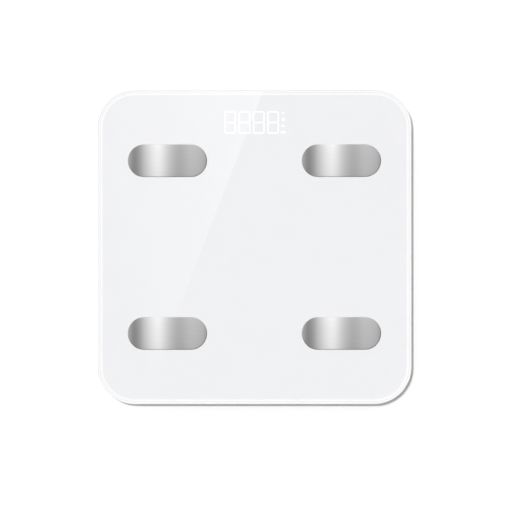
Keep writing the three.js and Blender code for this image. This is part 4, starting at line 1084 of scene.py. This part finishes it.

# ---------------------------------------------------------------- electrodes
# Four pads of thin stainless steel, brushed along their length, pressed with a rolled edge and a stud that
# passes through the glass. Soft upright bands of reflected light and shade are painted into the steel's
# colour along each pad, and each pad is painted a little darker towards its front edge.

# Painted reflection: stops of grey along each pad's length, for bands of light and shade in its colour.
PAINTED_REFLECTION_BANDS = ((0.0, 0.40), (0.09, 0.26), (0.20, 0.52), (0.37, 0.86), (0.50, 0.63), (0.63, 0.435), (0.80, 0.51),
         (0.95, 0.46), (1.0, 0.37))
# Painted shade: each pad's colour is darker towards its front edge and lighter towards its back edge.
PAINTED_SHADE_ACROSS = (0.92, 1.04)
SEAL = 0.0001
ROLL = 0.00075
ROLL_DROP = 0.8
ROLL_STEPS = 7
CROWN = 0.00005
CROWN_SHARES = (0.6, 0.3, 0.02)
STUD_RADIUS = 0.003


def brushed_steel_painted_bands(name, x, y, half_length, half_width):
    """Stainless steel brushed along X, with painted bands of reflected light and shade set over one pad."""
    material, tree, surface = finish(name, (0.6, 0.6, 0.6), 0.34, 1.0)
    where = node(tree, "ShaderNodeTexCoord")
    apart = node(tree, "ShaderNodeSeparateXYZ")
    tree.links.new(where.outputs["Object"], apart.inputs["Vector"])
    share = node(tree, "ShaderNodeMapRange", From_Min=x - half_length, From_Max=x + half_length)
    tree.links.new(apart.outputs["X"], share.inputs["Value"])
    # Painted reflection: the bands of light and shade are laid into the base colour along the pad.
    painted_bands = node(tree, "ShaderNodeValToRGB")
    painted_bands.color_ramp.interpolation = "CARDINAL"
    stops = painted_bands.color_ramp.elements
    for place, grey in PAINTED_REFLECTION_BANDS[1:-1]:
        stops.new(place)
    for stop, (place, grey) in zip(stops, PAINTED_REFLECTION_BANDS):
        stop.position = place
        stop.color = (grey, grey * 0.995, grey * 1.005, 1)
    tree.links.new(share.outputs["Result"], painted_bands.inputs["Fac"])
    strokes = speckle(tree, 60, stretch=(1, 90, 90), detail=6.0)
    grain = node(tree, "ShaderNodeMapRange", From_Min=0.25, From_Max=0.75, To_Min=0.93, To_Max=1.05)
    tree.links.new(strokes, grain.inputs["Value"])
    # Painted shade: the colour darkens towards the pad's front edge.
    painted_fall = node(tree, "ShaderNodeMapRange", From_Min=y - half_width, From_Max=y + half_width,
                To_Min=PAINTED_SHADE_ACROSS[0], To_Max=PAINTED_SHADE_ACROSS[1])
    tree.links.new(apart.outputs["Y"], painted_fall.inputs["Value"])
    shade = node(tree, "ShaderNodeMath", operation="MULTIPLY")
    tree.links.new(grain.outputs["Result"], shade.inputs[0])
    tree.links.new(painted_fall.outputs["Result"], shade.inputs[1])
    colour = node(tree, "ShaderNodeVectorMath", operation="SCALE")
    tree.links.new(painted_bands.outputs["Color"], colour.inputs[0])
    tree.links.new(shade.outputs["Value"], colour.inputs["Scale"])
    tree.links.new(colour.outputs["Vector"], surface.inputs["Base Color"])
    sheen(tree, surface, strokes, 0.28, 0.40)
    relief(tree, surface, strokes, 0.000006)
    return material


for corner, (x, y) in electrode_places.items():
    low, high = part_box(f"electrode_{corner}")
    half_length, half_width = (high.x - low.x) / 2, (high.y - low.y) / 2
    rise = high.z - glass_high.z - SEAL
    foot = high.z - rise
    rings = [at_level(rounded(half_length, half_width, half_width, middle=(x, y)), foot)]
    for i in range(ROLL_STEPS + 1):
        turn = math.pi / 2 * i / ROLL_STEPS
        inset = ROLL * (1 - math.cos(turn))
        outline = rounded(half_length - inset, half_width - inset, half_width - inset, middle=(x, y))
        rings.append(at_level(outline, high.z - CROWN - (rise - CROWN) * ROLL_DROP * (1 - math.sin(turn))))
    for share in CROWN_SHARES:
        inset = ROLL + (half_width - ROLL) * (1 - share)
        outline = rounded(half_length - inset, half_width - inset, half_width - inset, middle=(x, y))
        rings.append(at_level(outline, high.z - CROWN * share**2))
    bm = stacked(rings)
    stud = circle(x, y, STUD_RADIUS, 48)
    stacked([at_level(stud, low.z), at_level(stud, foot)], bm)
    steel = brushed_steel_painted_bands(f"brushed_steel_painted_bands_{corner}", x, y, half_length, half_width)
    pad = piece(f"steel_pad_{corner}", bm, [steel], crisp=math.radians(40))
    pad.visible_diffuse = False
    pad.visible_shadow = False
    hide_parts(f"electrode_{corner}")
